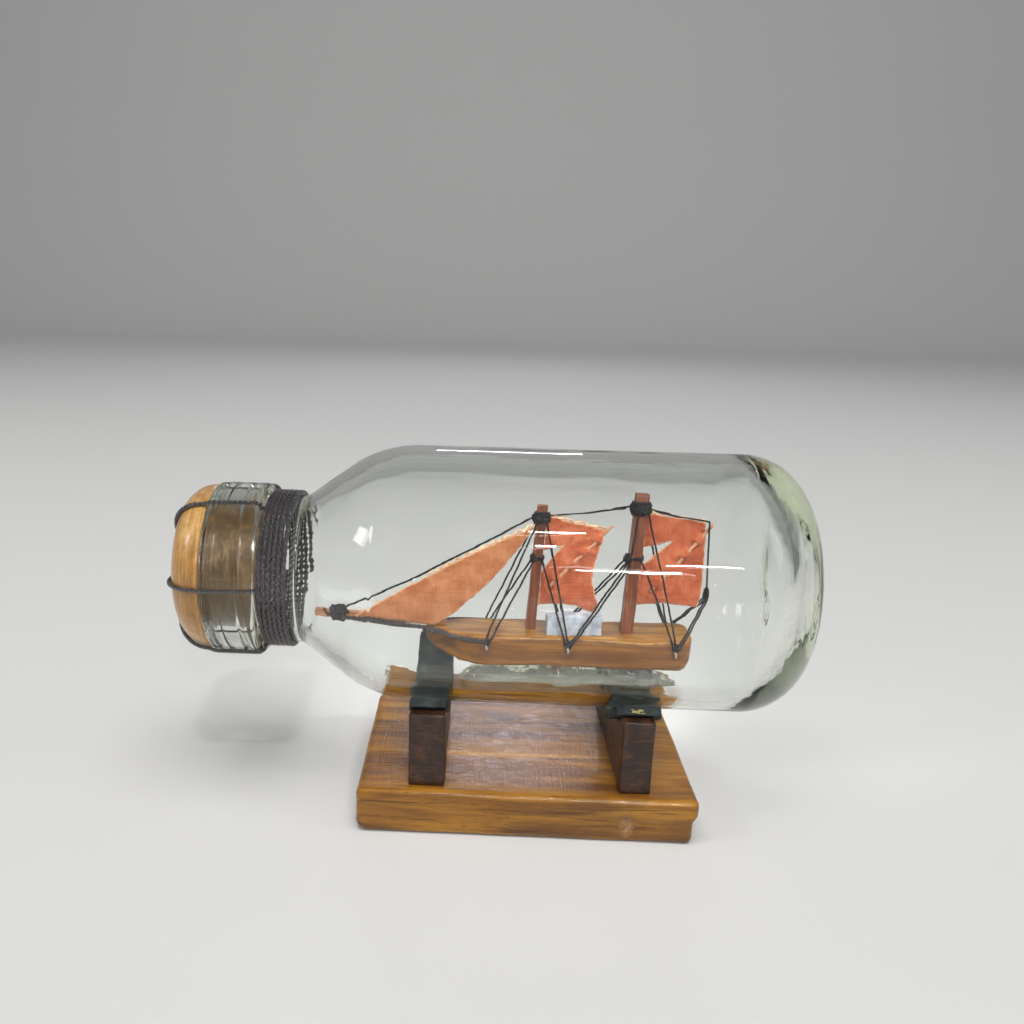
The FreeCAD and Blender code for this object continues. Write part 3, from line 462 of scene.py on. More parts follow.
def house_paint():
    shade = Shade("HousePaint", Specular_IOR_Level=0.35)
    where = shade.place()
    blot = shade.noise(where, 0.55, 5, 0.6)
    brush = shade.noise(shade.place((0.4, 0.4, 3)), 1.0, 4, 0.6)
    colour = shade.ramp(shade.span(blot, 0.3, 0.7), [(0, (0.24, 0.27, 0.33)), (0.5, (0.37, 0.40, 0.46)), (1, (0.52, 0.54, 0.57))])
    shade.colour(shade.edge_worn(colour, (0.62, 0.63, 0.62, 1), 0.02))
    shade.feed("Roughness", shade.span(brush, 0.3, 0.7, 0.5, 0.75))
    shade.bump(shade.maths("ADD", blot, brush), 0.06)
    return shade.material


def metal(name, colour, rough):
    shade = Shade(name, Metallic=1.0)
    grain = shade.noise(shade.place(), 2.5, 4, 0.6)
    shade.colour(shade.mix(shade.span(grain, 0.5, 0.75, 0, 0.5), colour, tuple(c * 0.5 for c in colour)))
    shade.feed("Roughness", shade.span(grain, 0.3, 0.7, rough, rough + 0.2))
    shade.bump(grain, 0.01)
    return shade.material


def pad_rubber():
    """Dark green-black resilient strip, rough and a little dusty."""
    shade = Shade("PadRubber", Specular_IOR_Level=0.4)
    where = shade.place()
    grit = shade.noise(where, 1.5, 6, 0.7)
    blot = shade.noise(where, 0.25, 4, 0.6)
    colour = shade.ramp(shade.span(blot, 0.3, 0.7), [(0, (0.008, 0.011, 0.012)), (0.6, (0.022, 0.030, 0.029)), (1, (0.055, 0.066, 0.06))])
    colour = shade.mix(shade.span(grit, 0.62, 0.78, 0, 0.5), colour, (0.14, 0.15, 0.13, 1))
    shade.colour(colour)
    shade.feed("Roughness", shade.span(grit, 0.3, 0.7, 0.5, 0.85))
    shade.bump(shade.maths("ADD", grit, blot), 0.3)
    return shade.material


def old_glue():
    shade = Shade("OldGlue", Roughness=0.35, Subsurface_Weight=0.2, Specular_IOR_Level=0.5)
    tone = shade.noise(shade.place(), 1.0, 4)
    shade.colour(shade.ramp(tone, [(0.35, (0.22, 0.17, 0.05)), (0.65, (0.55, 0.47, 0.20))]))
    shade.bump(tone, 0.1)
    return shade.material


# ---------------------------------------------------------------- mesh helpers

def piece(name, verts, faces, body, material, replaces=(), smooth=True):
    """A mesh object in the row frame that rides on a body."""
    mesh = bpy.data.meshes.new(name)
    mesh.from_pydata([tuple(v) for v in verts], [], faces)
    mesh.validate()
    if smooth:
        mesh.shade_smooth()
    made = bpy.data.objects.new(name, mesh)
    scene.collection.objects.link(made)
    mesh.materials.append(material)
    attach(made, body)
    if replaces:
        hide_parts(*replaces)
    return made


def arc(start, end, radius, steps):
    """Points after start up to end on the short arc; its centre is on the left if radius is positive."""
    start, end = Vector(start), Vector(end)
    along = (end - start).normalized()
    left = Vector((-along.y, along.x))
    rise = math.sqrt(max(radius ** 2 - (end - start).length ** 2 / 4, 0))
    centre = (start + end) / 2 + left * math.copysign(rise, radius)
    first = math.atan2(*(start - centre).yx)
    last = math.atan2(*(end - centre).yx)
    turn = (last - first + math.pi) % (2 * math.pi) - math.pi
    return [centre + abs(radius) * Vector((math.cos(first + turn * n / steps), math.sin(first + turn * n / steps)))
            for n in range(1, steps + 1)]


def outline(corners, fine=0.4):
    """Points in millimetres along (x, y) and (x, y, radius) corners, none further apart than fine."""
    points = []
    for number, corner in enumerate(corners):
        before, here = Vector(corners[number - 1][:2]), Vector(corner[:2])
        gap = (here - before).length
        if len(corner) == 3:
            points += arc(before, here, corner[2], max(3, math.ceil(gap / fine)))
            continue
        steps = max(1, math.ceil(gap / fine))
        points += [before.lerp(here, n / steps) for n in range(1, steps + 1)]
    return points


def lathe(section, around, wobble=None, closed=True):
    """Vertices and faces of a section (x, r in millimetres) turned about the bottle's axis."""
    verts, rows = [], []
    for x, r in section:
        if r < 1e-6:
            verts.append(Vector((x * MM, 0, AXIS)))
            rows.append([len(verts) - 1] * around)
            continue
        row = []
        for n in range(around):
            a = 2 * math.pi * n / around
            reach = r + (wobble(x, a, r) if wobble else 0)
            verts.append(Vector((x * MM, reach * math.cos(a) * MM, AXIS + reach * math.sin(a) * MM)))
            row.append(len(verts) - 1)
        rows.append(row)
    faces = []
    pairs = list(zip(rows, rows[1:] + rows[:1])) if closed else list(zip(rows, rows[1:]))
    for one, two in pairs:
        for n in range(around):
            m = (n + 1) % around
            face = list(dict.fromkeys((one[n], one[m], two[m], two[n])))
            if len(face) > 2:
                faces.append(face)
    return verts, faces


def frames(path):
    """Tangent, side and up vectors carried along a path without twisting."""
    tangents = [((path[min(n + 1, len(path) - 1)] - path[max(n - 1, 0)]).normalized()) for n in range(len(path))]
    side = tangents[0].orthogonal().normalized()
    out = []
    for t in tangents:
        side = (side - t * side.dot(t)).normalized()
        out.append((t, side, t.cross(side)))
    return out


def resampled(path, step):
    """The same path with points an even step apart."""
    out, left = [path[0].copy()], step
    for a, b in zip(path, path[1:]):
        length = (b - a).length
        done = 0.0
        while length - done >= left:
            done += left
            out.append(a.lerp(b, done / length))
            left = step
        left -= length - done
    if (out[-1] - path[-1]).length > step * 0.3:
        out.append(path[-1].copy())
    return out


def tube(path, radius, sides=8, grow=None):
    """Vertices and faces of a round tube with closed ends; grow(t) scales it along its length."""
    verts, faces = [], []
    carried = frames(path)
    last = len(path) - 1
    for n, (p, (t, side, up)) in enumerate(zip(path, carried)):
        r = radius * (grow(n / last) if grow else 1)
        for k in range(sides):
            a = 2 * math.pi * k / sides
            verts.append(p + side * (r * math.cos(a)) + up * (r * math.sin(a)))
    for n in range(last):
        for k in range(sides):
            m = (k + 1) % sides
            faces.append((n * sides + k, n * sides + m, (n + 1) * sides + m, (n + 1) * sides + k))
    faces.append(tuple(reversed(range(sides))))
    faces.append(tuple(last * sides + k for k in range(sides)))
    return verts, faces


def joined(parts):
    """Several (vertices, faces) as one."""
    verts, faces = [], []
    for v, f in parts:
        start = len(verts)
        verts += v
        faces += [tuple(start + n for n in face) for face in f]
    return verts, faces


def braid(path, radius, pitch, step, sides=5):
    """A four-strand braid about a path: two strands wind each way and cross over and under."""
    line = resampled(path, step)
    carried = frames(line)
    strand = radius * 0.50
    ring = radius - strand
    parts = []
    for hand in (1, -1):
        for k in (0, 1):
            curve = []
            for n, (p, (t, side, up)) in enumerate(zip(line, carried)):
                turn = 2 * math.pi * n * step / pitch
                a = hand * turn + k * math.pi
                reach = ring * (1 + 0.28 * hand * math.cos(2 * turn))
                curve.append(p + (side * math.cos(a) + up * math.sin(a)) * reach)
            parts.append(tube(curve, strand, sides))
    return joined(parts)


def twist(path, radius, pitch, step, strands=2, sides=5):
    """Strands laid side by side and twisted about a path."""
    line = resampled(path, step)
    carried = frames(line)
    strand = radius * (0.58 if strands == 2 else 0.52)
    ring = radius - strand
    parts = []
    for k in range(strands):
        curve = []
        for n, (p, (t, side, up)) in enumerate(zip(line, carried)):
            a = 2 * math.pi * (n * step / pitch + k / strands)
            curve.append(p + (side * math.cos(a) + up * math.sin(a)) * ring)
        parts.append(tube(curve, strand, sides))
    return joined(parts)


def rounded_box(low, high, radius, step, bend=None):
    """A box with rounded edges as an even grid, so that bend(point) can shape it."""
    axes = []
    for a, b in zip(low, high):
        edge = [radius * (1 - math.cos(math.radians(22.5 * n))) for n in range(5)]
        count = max(1, round((b - a - 2 * radius) / step))
        inside = [a + radius + (b - a - 2 * radius) * n / count for n in range(1, count)]
        axes.append([a + e for e in edge] + inside + [b - e for e in reversed(edge)])
    core_low = Vector([a + radius for a in low])
    core_high = Vector([b - radius for b in high])
    verts, index, faces = [], {}, []

    def vertex(key):
        if key not in index:
            p = Vector([axes[n][key[n]] for n in range(3)])
            core = Vector([min(max(p[n], core_low[n]), core_high[n]) for n in range(3)])
            away = p - core
            if away.length > 1e-12:
                p = core + away.normalized() * radius
            index[key] = len(verts)
            verts.append(bend(p) if bend else p)
        return index[key]

    for n in range(3):
        u, v = (n + 1) % 3, (n + 2) % 3
        for end in (0, len(axes[n]) - 1):
            for i in range(len(axes[u]) - 1):
                for j in range(len(axes[v]) - 1):
                    corners = []
                    for di, dj in ((0, 0), (1, 0), (1, 1), (0, 1)):
                        key = [0, 0, 0]
                        key[n], key[u], key[v] = end, i + di, j + dj
                        corners.append(vertex(tuple(key)))
                    faces.append(corners if end else corners[::-1])
    return verts, faces


def rough(point, scale, amount):
    """A small offset that varies smoothly over space; scale is per millimetre, amount in millimetres."""
    return noise.noise_vector(point / MM * scale) * amount * MM


def tidy_mesh(made, doubles=1e-7):
    """Merges coincident points and turns the faces outward."""
    work = bmesh.new()
    work.from_mesh(made.data)
    bmesh.ops.remove_doubles(work, verts=work.verts, dist=doubles)
    bmesh.ops.recalc_face_normals(work, faces=work.faces)
    work.to_mesh(made.data)
    work.free()
    made.data.shade_smooth()
    return made


# ---------------------------------------------------------------- stand

def make_plate():
    """The board: edges worn round, a dent in its front, a worn corner and a knife cut at another."""
    dent = DENT
    worn = Vector((plate_high.x, plate_low.y, 0))
    cut = Vector((plate_low.x, plate_low.y, 0))
    cut_face = Vector((-0.62, -0.42, -0.66)).normalized()

    def bend(p):
        p = p + rough(p, 0.09, 0.12)
        from_dent = p - dent
        if p.y < plate_low.y + 2.5 * MM:
            p.y += 1.0 * MM * math.exp(-((from_dent.x / (1.35 * MM)) ** 2 + (from_dent.z / (2.1 * MM)) ** 2) ** 2)
        from_worn = p - worn
        near = math.exp(-((from_worn.x + 0.2 * MM) / (3.2 * MM)) ** 2 - (from_worn.y / (5 * MM)) ** 2)
        low = 1 / (1 + math.exp((p.z - 5.4 * MM) / (0.30 * MM)))
        p.x -= 1.0 * MM * near * low
        beyond = (p - cut).dot(cut_face) + 1.5 * MM
        if beyond > 0:
            p -= cut_face * beyond
        return Vector((min(max(p.x, plate_low.x), plate_high.x), min(max(p.y, plate_low.y), plate_high.y),
                       min(max(p.z, 0.0), plate_high.z)))

    verts, faces = rounded_box(plate_low, plate_high, 1.3 * MM, 0.55 * MM, bend)
    tidy_mesh(piece("board", verts, faces, "stand", plate_wood(), ["stand_plate"]))


def make_upright(side, material):
    """A block with its round notch and softened edges."""
    low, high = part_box(f"upright_{side}")
    pad_low, pad_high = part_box(f"pad_{side}")
    notch = (AXIS - pad_low.z) / MM
    half, top, foot = (high.y - low.y) / 2 / MM, high.z / MM, low.z / MM
    edge = math.sqrt(notch ** 2 - (AXIS / MM - top) ** 2)
    corners = [(half, foot), (half, top), (edge, top), (-edge, top, -notch), (-half, top), (-half, foot)]
    line = [Vector(c) for c in [p[:] for p in outline(corners, 1.2)]]
    mesh = bpy.data.meshes.new(f"block_{side}")
    work = bmesh.new()
    ring = [work.verts.new((low.x, y * MM, z * MM)) for y, z in line]
    face = work.faces.new(ring)
    grown = bmesh.ops.extrude_face_region(work, geom=[face])
    moved = [g for g in grown["geom"] if isinstance(g, bmesh.types.BMVert)]
    bmesh.ops.translate(work, verts=moved, vec=(high.x - low.x, 0, 0))
    bmesh.ops.recalc_face_normals(work, faces=work.faces)
    sharp = [e for e in work.edges if len(e.link_faces) == 2 and e.calc_face_angle() > 0.6]
    bmesh.ops.bevel(work, geom=sharp, offset=0.45 * MM, segments=3, affect="EDGES", profile=0.6)
    for v in work.verts:
        shift = rough(v.co, 0.12, 0.12)
        v.co.x += shift.x
        v.co.y += shift.y if abs(v.co.y) < half * MM - 0.3 * MM else 0
    work.to_mesh(mesh)
    work.free()
    mesh.shade_smooth()
    mesh.materials.append(material)
    made = bpy.data.objects.new(f"block_{side}", mesh)
    scene.collection.objects.link(made)
    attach(made, "stand")
    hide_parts(f"upright_{side}")


def make_pad(side, material):
    """A bent strip with soft, ragged edges that lines a notch."""
    low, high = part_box(f"pad_{side}")
    outer = AXIS - low.z
    inner = BODY_RADIUS + 0.25 * MM
    reach = math.asin(min(1, high.y / outer)) + math.radians(0.2)
    middle, half = (low.x + high.x) / 2, (high.x - low.x) / 2
    thick, centre = outer - inner, (outer + inner) / 2
    corner = thick * 0.16

    def bend(p):
        worn = rough(p + Vector((0, 0, 7 * half)), 0.45, 0.4) + rough(p, 1.9, 0.22)
        ragged = Vector((worn.x, worn.y * 0.9, worn.z * 0.35))
        q = p + ragged
        taper = 1 - 0.10 * max(0, abs(q.y) / (reach * centre) - 0.85) / 0.15
        x = max(-half, min(half, q.x * taper))
        away = max(-thick / 2, min(thick / 2, q.z))
        a = max(-reach, min(reach, q.y / centre))
        r = centre + away
        return Vector((middle + x, r * math.sin(a), AXIS - r * math.cos(a)))

    long = reach * centre
    box_low, box_high = (-half, -long, -thick / 2), (half, long, thick / 2)
    verts, faces = rounded_box(box_low, box_high, corner, 0.3 * MM, bend)
    made = tidy_mesh(piece(f"cradle_strip_{side}", verts, faces, "stand", material, [f"pad_{side}"]))


def make_glue_smear():
    """A dab of old glue on the front end of the right pad."""
    low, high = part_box("pad_right")
    outer = AXIS - low.z
    reach = math.asin(min(1, high.y / outer))
    parts = []
    for across, up, size in ((-0.6, 0.55, 0.75), (0.3, 0.9, 0.6), (0.95, 0.4, 0.42), (-1.3, 1.0, 0.35), (1.7, 0.85, 0.25)):
        r = outer - up * MM
        centre = Vector(((low.x + high.x) / 2 + across * MM, -r * math.sin(reach) - 0.02 * MM, AXIS - r * math.cos(reach)))
        work = bmesh.new()
        bmesh.ops.create_icosphere(work, subdivisions=3, radius=size * MM)
        verts = []
        for v in work.verts:
            p = v.co + rough(v.co + centre, 1.1, 0.22)
            verts.append(centre + Vector((p.x * 1.2, max(p.y * 0.22, -0.12 * MM) , p.z * 0.55)))
        faces = [tuple(v.index for v in f.verts) for f in work.faces]
        work.free()
        parts.append((verts, faces))
    verts, faces = joined(parts)
    verts = [Vector((v.x, max(v.y, plate_low.y), v.z)) for v in verts]
    piece("glue_smear", verts, faces, "stand", old_glue())


def make_stand():
    make_plate()
    dark, rubber = block_wood(), pad_rubber()
    for side in ("left", "right"):
        make_upright(side, dark)
        make_pad(side, rubber)
    make_glue_smear()
    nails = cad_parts["upright_nails"]
    nails.data.materials.clear()
    nails.data.materials.append(metal("NailSteel", (0.55, 0.55, 0.56, 1), 0.3))


# ---------------------------------------------------------------- bottle

RIM = glass_low.x / MM
BASE = glass_high.x / MM
FINISH_END = RIM + 10.7
FINISH = 18.0
NECK = 15.75
BORE = 13.2
NECK_END = RIM + 18.0
SHOULDER_END = RIM + 42.56
SHOULDER_BEND = 25.0
SHOULDER_RUN = 14.5
HEEL = 13.0
FLOOR = BASE - 4.4


def bottle_section():
    """The glass in section, from the middle of the base round the outside and back inside."""
    body = BODY_RADIUS / MM
    rise = math.sqrt(SHOULDER_BEND ** 2 - SHOULDER_RUN ** 2)
    slope, drop = SHOULDER_RUN / rise, SHOULDER_BEND - rise
    cone_foot = SHOULDER_END - SHOULDER_RUN - (body - drop - NECK - 0.35) / slope
    share = (SHOULDER_BEND - WALL / MM) / SHOULDER_BEND
    inside = body - WALL / MM
    inner_foot = SHOULDER_END - SHOULDER_RUN * share - (inside - drop * share - BORE) / slope
    inner_heel = HEEL - WALL / MM
    corners = [
        (BASE - 1.8, 0.0), *((BASE - 0.9 - 0.9 * math.cos(math.pi * r / 13.2), r) for r in range(1, 14)),
        (BASE, body - HEEL),
        (BASE - HEEL, body, HEEL),
        (SHOULDER_END, body),
        (SHOULDER_END - SHOULDER_RUN, body - drop, SHOULDER_BEND),
        (cone_foot, NECK + 0.35), (NECK_END, NECK, -2.45), (FINISH_END, NECK),
        (FINISH_END, FINISH - 0.9), (FINISH_END - 0.9, FINISH, 0.9),
        (FINISH_END - 2.2, FINISH), (FINISH_END - 2.8, FINISH - 0.35, 0.9), (FINISH_END - 3.4, FINISH, -0.9),
        (RIM + 3.2, FINISH), (RIM + 2.5, FINISH - 0.35, 0.9), (RIM + 1.9, FINISH - 0.1, -0.9),
        (RIM + 0.7, FINISH - 0.1), (RIM, FINISH - 0.8, 0.7),
        (RIM, BORE + 0.4), (RIM + 0.4, BORE, 0.4),
        (inner_foot, BORE), (SHOULDER_END - SHOULDER_RUN * share, inside - drop * share),
        (SHOULDER_END, inside, -(SHOULDER_BEND - WALL / MM)),
        (FLOOR - inner_heel, inside), (FLOOR, inside - inner_heel, -inner_heel),
        (FLOOR - 1.2, 0.0),
    ]
    points = outline(corners, 0.35)
    closing = points.index(Vector(corners[0]))
    return points[closing + 1:] + points[:closing + 1]


def glass_wobble(x, a, r):
    """Blown glass is uneven: a little outside, more inside."""
    body = BODY_RADIUS / MM
    if r < 5 or x < FINISH_END + 1:
        return 0.0
    where = Vector((x * 0.055, 1.3 * math.cos(a), 1.3 * math.sin(a)))
    inside = 1.0 if r < body - 1.2 and not BASE - 5 < x else 0.0
    amount = -0.035 + (0.16 if inside else 0.05) * noise.noise(where + Vector((0, 0, 9 * inside)))
    return min(amount, 0.0) if not inside else amount


def press_mark(p):
    """Plain raised rings under the base, pressed off its middle."""
    middle = Vector((0, AXIS - 5.5 * MM))
    reach = (Vector((p.y, p.z)) - middle).length / MM
    if p.x > (BASE - 2.4) * MM and reach < 6:
        rings = math.exp(-((reach - 3.3) / 0.4) ** 2) + 0.7 * math.exp(-((reach - 1.7) / 0.35) ** 2)
        p.x += 0.42 * MM * rings
    return p


def make_glass():
    verts, faces = lathe(bottle_section(), 256, glass_wobble)
    verts = [press_mark(v) for v in verts]
    made = tidy_mesh(piece("bottle_shell", verts, faces, "bottle", clear_glass(), ["glass_bottle"]))
    made.visible_shadow = False
    return made


def stopper_section():
    low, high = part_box("stopper")
    front, plug_end = low.x / MM, high.x / MM
    bend, head, plug, crown = 6.4, 17.5, BORE - 0.05, 0.4
    crown_bend = ((head - bend) ** 2 + crown ** 2) / (2 * crown)
    corners = [(plug_end, 0.0), (plug_end, plug - 0.6), (plug_end - 0.6, plug, 0.6), (RIM - 0.02, plug),
               (RIM - 0.02, head - 0.5), (RIM - 0.52, head, 0.5), (front + crown + bend, head),
               (front + crown, head - bend, bend), (front, 0.0, crown_bend)]
    points = outline(corners, 0.4)
    return [Vector((plug_end, 0.0))] + points[1:] if (points[0] - Vector(corners[0])).length > 1e-6 else points


def make_stopper():
    def turned(x, a, r):
        return -0.05 + 0.05 * noise.noise(Vector((x * 0.5, math.cos(a), math.sin(a))))

    low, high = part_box("stopper")
    section = stopper_section()
    section = [p for p in section if p.y > 1e-6]
    section = [Vector((high.x / MM, 0.0))] + [p for p in section] + [Vector((low.x / MM, 0.0))]
    verts, faces = lathe(section, 144, turned, closed=False)
    made = tidy_mesh(piece("domed_stopper", verts, faces, "bottle", stopper_wood(), ["stopper"]))
    # Faces inside the neck take the darker copy of the wood, which is painted shade.
    made.data.materials.append(shaded_plug_wood())
    for face in made.data.polygons:
        if face.center.x > (RIM + 0.1) * MM:
            face.material_index = 1


def around_axis(x, r, degrees):
    """A point beside the bottle's axis; 0 degrees is towards the viewer, 90 is up."""
    a = math.radians(degrees)
    return Vector((x * MM, -r * math.cos(a) * MM, AXIS + r * math.sin(a) * MM))


def make_whipping(material):
    low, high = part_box("neck_whipping")
    radius = 0.5
    first, turns = FINISH_END + radius + 0.05, 6
    pitch = 1.03
    ring = NECK + radius + 0.02
    points = []
    for n in range(turns * 90 + 1):
        t = n / 90
        sway = 0.07 * noise.noise(Vector((t * 1.7, 0.3, 5.0))) + 0.3 * max(0.0, t - turns + 0.7)
        points.append(around_axis(first + pitch * t * 0.97 + sway, ring + 0.05 * noise.noise(Vector((t * 2.3, 1, 1))), 360 * t + 200))
    verts, faces = braid(points, radius * MM, 3.0 * MM, 0.17 * MM)
    piece("neck_winding", verts, faces, "bottle", material, ["neck_whipping"])


LEG_TURNS = [61 + 60 * n for n in range(6)]


def make_lashing(material):
    """Six legs over the stopper that meet in a knot at its centre and end under the winding."""
    low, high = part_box("stopper")
    radius, hug = 0.45, 0.44
    front, head, bend, crown = low.x / MM, 17.5, 6.4, 0.4
    outer = FINISH + hug
    parts = []
    for turn in LEG_TURNS:
        sway = dice.uniform(-1.5, 1.5)
        side = [(front - hug, 0.6), (front + crown - hug, head - bend)]
        side += [tuple(p) for p in arc(side[-1], (front + crown + bend, head + hug), -(bend + hug), 16)]
        side += [(RIM + 0.3, outer - 0.12), (RIM + 1.2, outer), (FINISH_END - 0.9, outer)]
        side += [tuple(p) for p in arc(side[-1], (FINISH_END + 0.45, outer - 1.35), -1.35, 6)]
        side.append((FINISH_END + 0.55, NECK + 0.9))
        line = [around_axis(x, r, turn + sway * math.sin((x - front) * 0.22)) for x, r in side]
        smooth = resampled(line, 0.5 * MM)
        parts.append(braid(smooth, radius * MM, 2.1 * MM, 0.15 * MM))
    knot = []
    for n in range(120):
        t = n / 119
        a = 2 * math.pi * 3 * t
        lift = 0.35 * math.sin(2 * math.pi * 2 * t)
        knot.append(around_axis(front - 0.55 - 0.25 * abs(lift), 0.75 + 0.3 * math.sin(a * 1.5), math.degrees(a)))
    parts.append(twist(knot, 0.36 * MM, 1.6 * MM, 0.15 * MM, 3))
    verts, faces = joined(parts)
    verts = [Vector((max(v.x, cad_low.x), v.y, v.z)) for v in verts]
    piece("stopper_cords", verts, faces, "bottle", material, ["stopper_lashing"])


def make_glue_bed():
    """Clear glue between the hull and the glass, its top drawn into waves."""
    low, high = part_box("glue_bed")
    inside = BODY_RADIUS - WALL - 0.25 * MM
    keel = hull_low.z
    along, across = 120, 26
    tops, bottoms = [], []
    for n in range(along + 1):
        t = n / along
        x = low.x + (high.x - low.x) * t
        for k in range(across + 1):
            s = 2 * k / across - 1
            y = s * 4.6 * MM * (0.93 + 0.07 * math.sin(t * 17)) * max(0.05, 1 - abs(2 * t - 1) ** 5) ** 0.5
            floor = AXIS - math.sqrt(inside ** 2 - y ** 2)
            crest = 0.5 + 0.5 * math.cos(2 * math.pi * (3 * t - 0.35))
            ends = min(1, t * 5, (1 - t) * 5) ** 0.5
            shape = (1 - s * s) ** 0.5 * ends * (0.62 + 0.38 * crest) if abs(s) < 1 else 0
            bumpy = 1 + 0.12 * noise.noise(Vector((x / MM * 0.5, y / MM * 0.6, 3)))
            top = floor + (keel - 0.02 * MM - floor) * min(1, shape * bumpy)
            tops.append(Vector((x, y, max(top, floor + 0.03 * MM))))
            bottoms.append(Vector((x, y, floor)))
    verts = tops + bottoms
    row, size = across + 1, len(tops)
    faces = []
    for n in range(along):
        for k in range(across):
            a = n * row + k
            faces.append((a, a + row, a + row + 1, a + 1))
            faces.append((size + a, size + a + 1, size + a + row + 1, size + a + row))
    rim = [k for k in range(across)]
    for k in rim:
        faces.append((k, k + 1, size + k + 1, size + k))
        a = along * row + k
        faces.append((a + 1, a, size + a, size + a + 1))
    for n in range(along):
        a = n * row
        faces.append((a, size + a, size + a + row, a + row))
        b = a + across
        faces.append((b, b + row, size + b + row, size + b))
    made = tidy_mesh(piece("glue_sea", verts, faces, "bottle", clear_glue(), ["glue_bed"]))
    made.visible_shadow = False


# ---------------------------------------------------------------- ship, wood

def ship(x, y, z):
    """A place in the ship's own frame: X and Y as the row's, Z from the deck, in millimetres."""
    return Vector((x * MM, y * MM, DECK + z * MM))


def half_breadth(x):
    """Half the hull's width at x: curved bow, straight sides, rounded stern corners."""
    bow, stern = hull_low.x / MM, hull_high.x / MM
    beam = HALF_BEAM / MM
    curve_end, bend, corner = bow + 15.0, 24.3, 2.6
    if x < curve_end:
        wide = beam - (bend - math.sqrt(max(bend ** 2 - (x - curve_end) ** 2, 0)))
        return max(0.0, wide * min(1, math.sqrt(max(x - bow, 0) / 0.7)))
    if x > stern - corner:
        return beam - corner + math.sqrt(max(corner ** 2 - (x - stern + corner) ** 2, 0))
    return beam


def keel_depth(x):
    """Hull depth at x: a blunt stem, a forefoot that curves to the keel and a rounded counter."""
    bow, stern = hull_low.x / MM, hull_high.x / MM
    full = (hull_high.z - hull_low.z) / MM
    stem, run, corner = 1.8, 15.0, 2.6
    if x < bow + run:
        t = 1 - (x - bow) / run
        return stem + (full - stem) * math.sqrt(max(1 - t ** 2.6, 0))
    if x > stern - corner:
        t = (x - stern + corner) / corner
        return full - corner * (1 - math.sqrt(max(1 - t * t, 0)))
    return full


def make_hull():
    bow, stern = hull_low.x / MM, hull_high.x / MM
    count, corner, edge = 130, 1.5, 0.3
    verts, rings = [], []
    for n in range(count + 1):
        t = n / count
        x = bow + (stern - bow) * (0.5 - 0.5 * math.cos(math.pi * t))
        wide = max(half_breadth(x), 0.05)
        depth = keel_depth(x)
        turn = min(corner, depth * 0.45, wide * 0.8)
        brim = min(edge, wide * 0.5)
        side = [(0.0, 0.0), (wide * 0.35, 0.0), (wide * 0.7, 0.0), (wide - brim, 0.0), (wide - brim * 0.3, -brim * 0.3),
                (wide, -brim), (wide, -depth * 0.3)]
        side += [(wide, -(depth - turn))]
        side += [(wide - turn + turn * math.cos(a), -(depth - turn) - turn * math.sin(a))
                 for a in (math.radians(18 * k) for k in range(1, 6))]
        side += [(wide * 0.4 * (1 - turn / max(wide, 0.01)), -depth), (0.0, -depth)]
        ring = [(y, z) for y, z in side] + [(-y, z) for y, z in side[-2:0:-1]]
        row = []
        for y, z in ring:
            p = ship(x, y, z)
            shift = rough(p, 0.25, 0.10)
            if z > -0.2:
                shift.z = min(shift.z, 0)
            p += Vector((0, shift.y * (0 if abs(y) < 0.05 else 1), shift.z * 0.5))
            p.y = max(-HALF_BEAM, min(HALF_BEAM, p.y))
            p.z = min(max(p.z, hull_low.z), hull_high.z)
            verts.append(p)
            row.append(len(verts) - 1)
        rings.append(row)
    faces = []
    size = len(rings[0])
    for one, two in zip(rings, rings[1:]):
        for k in range(size):
            m = (k + 1) % size
            faces.append((one[k], one[m], two[m], two[k]))
    faces.append(tuple(rings[0]))
    faces.append(tuple(reversed(rings[-1])))
    made = tidy_mesh(piece("ship_hull", verts, faces, "bottle", hull_side(), ["hull"]))
    made.data.materials.append(deck_wood())
    for face in made.data.polygons:
        if face.normal.z > 0.8:
            face.material_index = 1


def square_stick(name, foot, head, width, material, node, top=None):
    """A hand-cut square stick between two points in the ship's middle plane."""
    foot, head = Vector(foot), Vector(head)
    along = (head - foot).normalized()
    across = Vector((along.z, 0, -along.x))
    half, length = width / 2 * MM, (head - foot).length

    def bend(p):
        shaved = rough(p + foot, 0.35, 0.09)
        q = p + Vector((shaved.x, shaved.y, 0))
        q.x = max(-half, min(half, q.x))
        q.y = max(-half, min(half, q.y))
        return foot + across * q.x + Vector((0, q.y, 0)) + along * q.z

    verts, faces = rounded_box((-half, -half, 0), (half, half, length), 0.22 * MM, 0.5 * MM, bend)
    low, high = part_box(node)
    verts = [Vector([min(max(v[n], low[n]), high[n]) for n in range(3)]) for v in verts]
    tidy_mesh(piece(name, verts, faces, "bottle", material, [node]))


FORE = {"foot": 0.45, "rake": 1.35, "rise": 27.3, "width": 2.1}
MAIN = {"foot": 20.75, "rake": 1.45, "rise": 30.1, "width": 2.6}


def mast_at(mast, rise):
    """x of a mast's middle at a height above the deck."""
    return mast["foot"] + mast["rake"] * rise / mast["rise"]


def make_masts():
    red = mast_wood()
    for name, mast, node in (("fore_mast_stick", FORE, "foremast"), ("main_mast_stick", MAIN, "mainmast")):
        square_stick(name, ship(mast["foot"], 0, 0), ship(mast_at(mast, mast["rise"]), 0, mast["rise"]),
                     mast["width"], red, node)
    low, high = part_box("bowsprit")
    foot = Vector((high.x, 0, low.z + 0.8 * MM))
    tip = Vector((low.x, 0, high.z - 0.8 * MM))
    square_stick("bowsprit_stick", foot, tip, 1.6, sprit_wood(), "bowsprit")


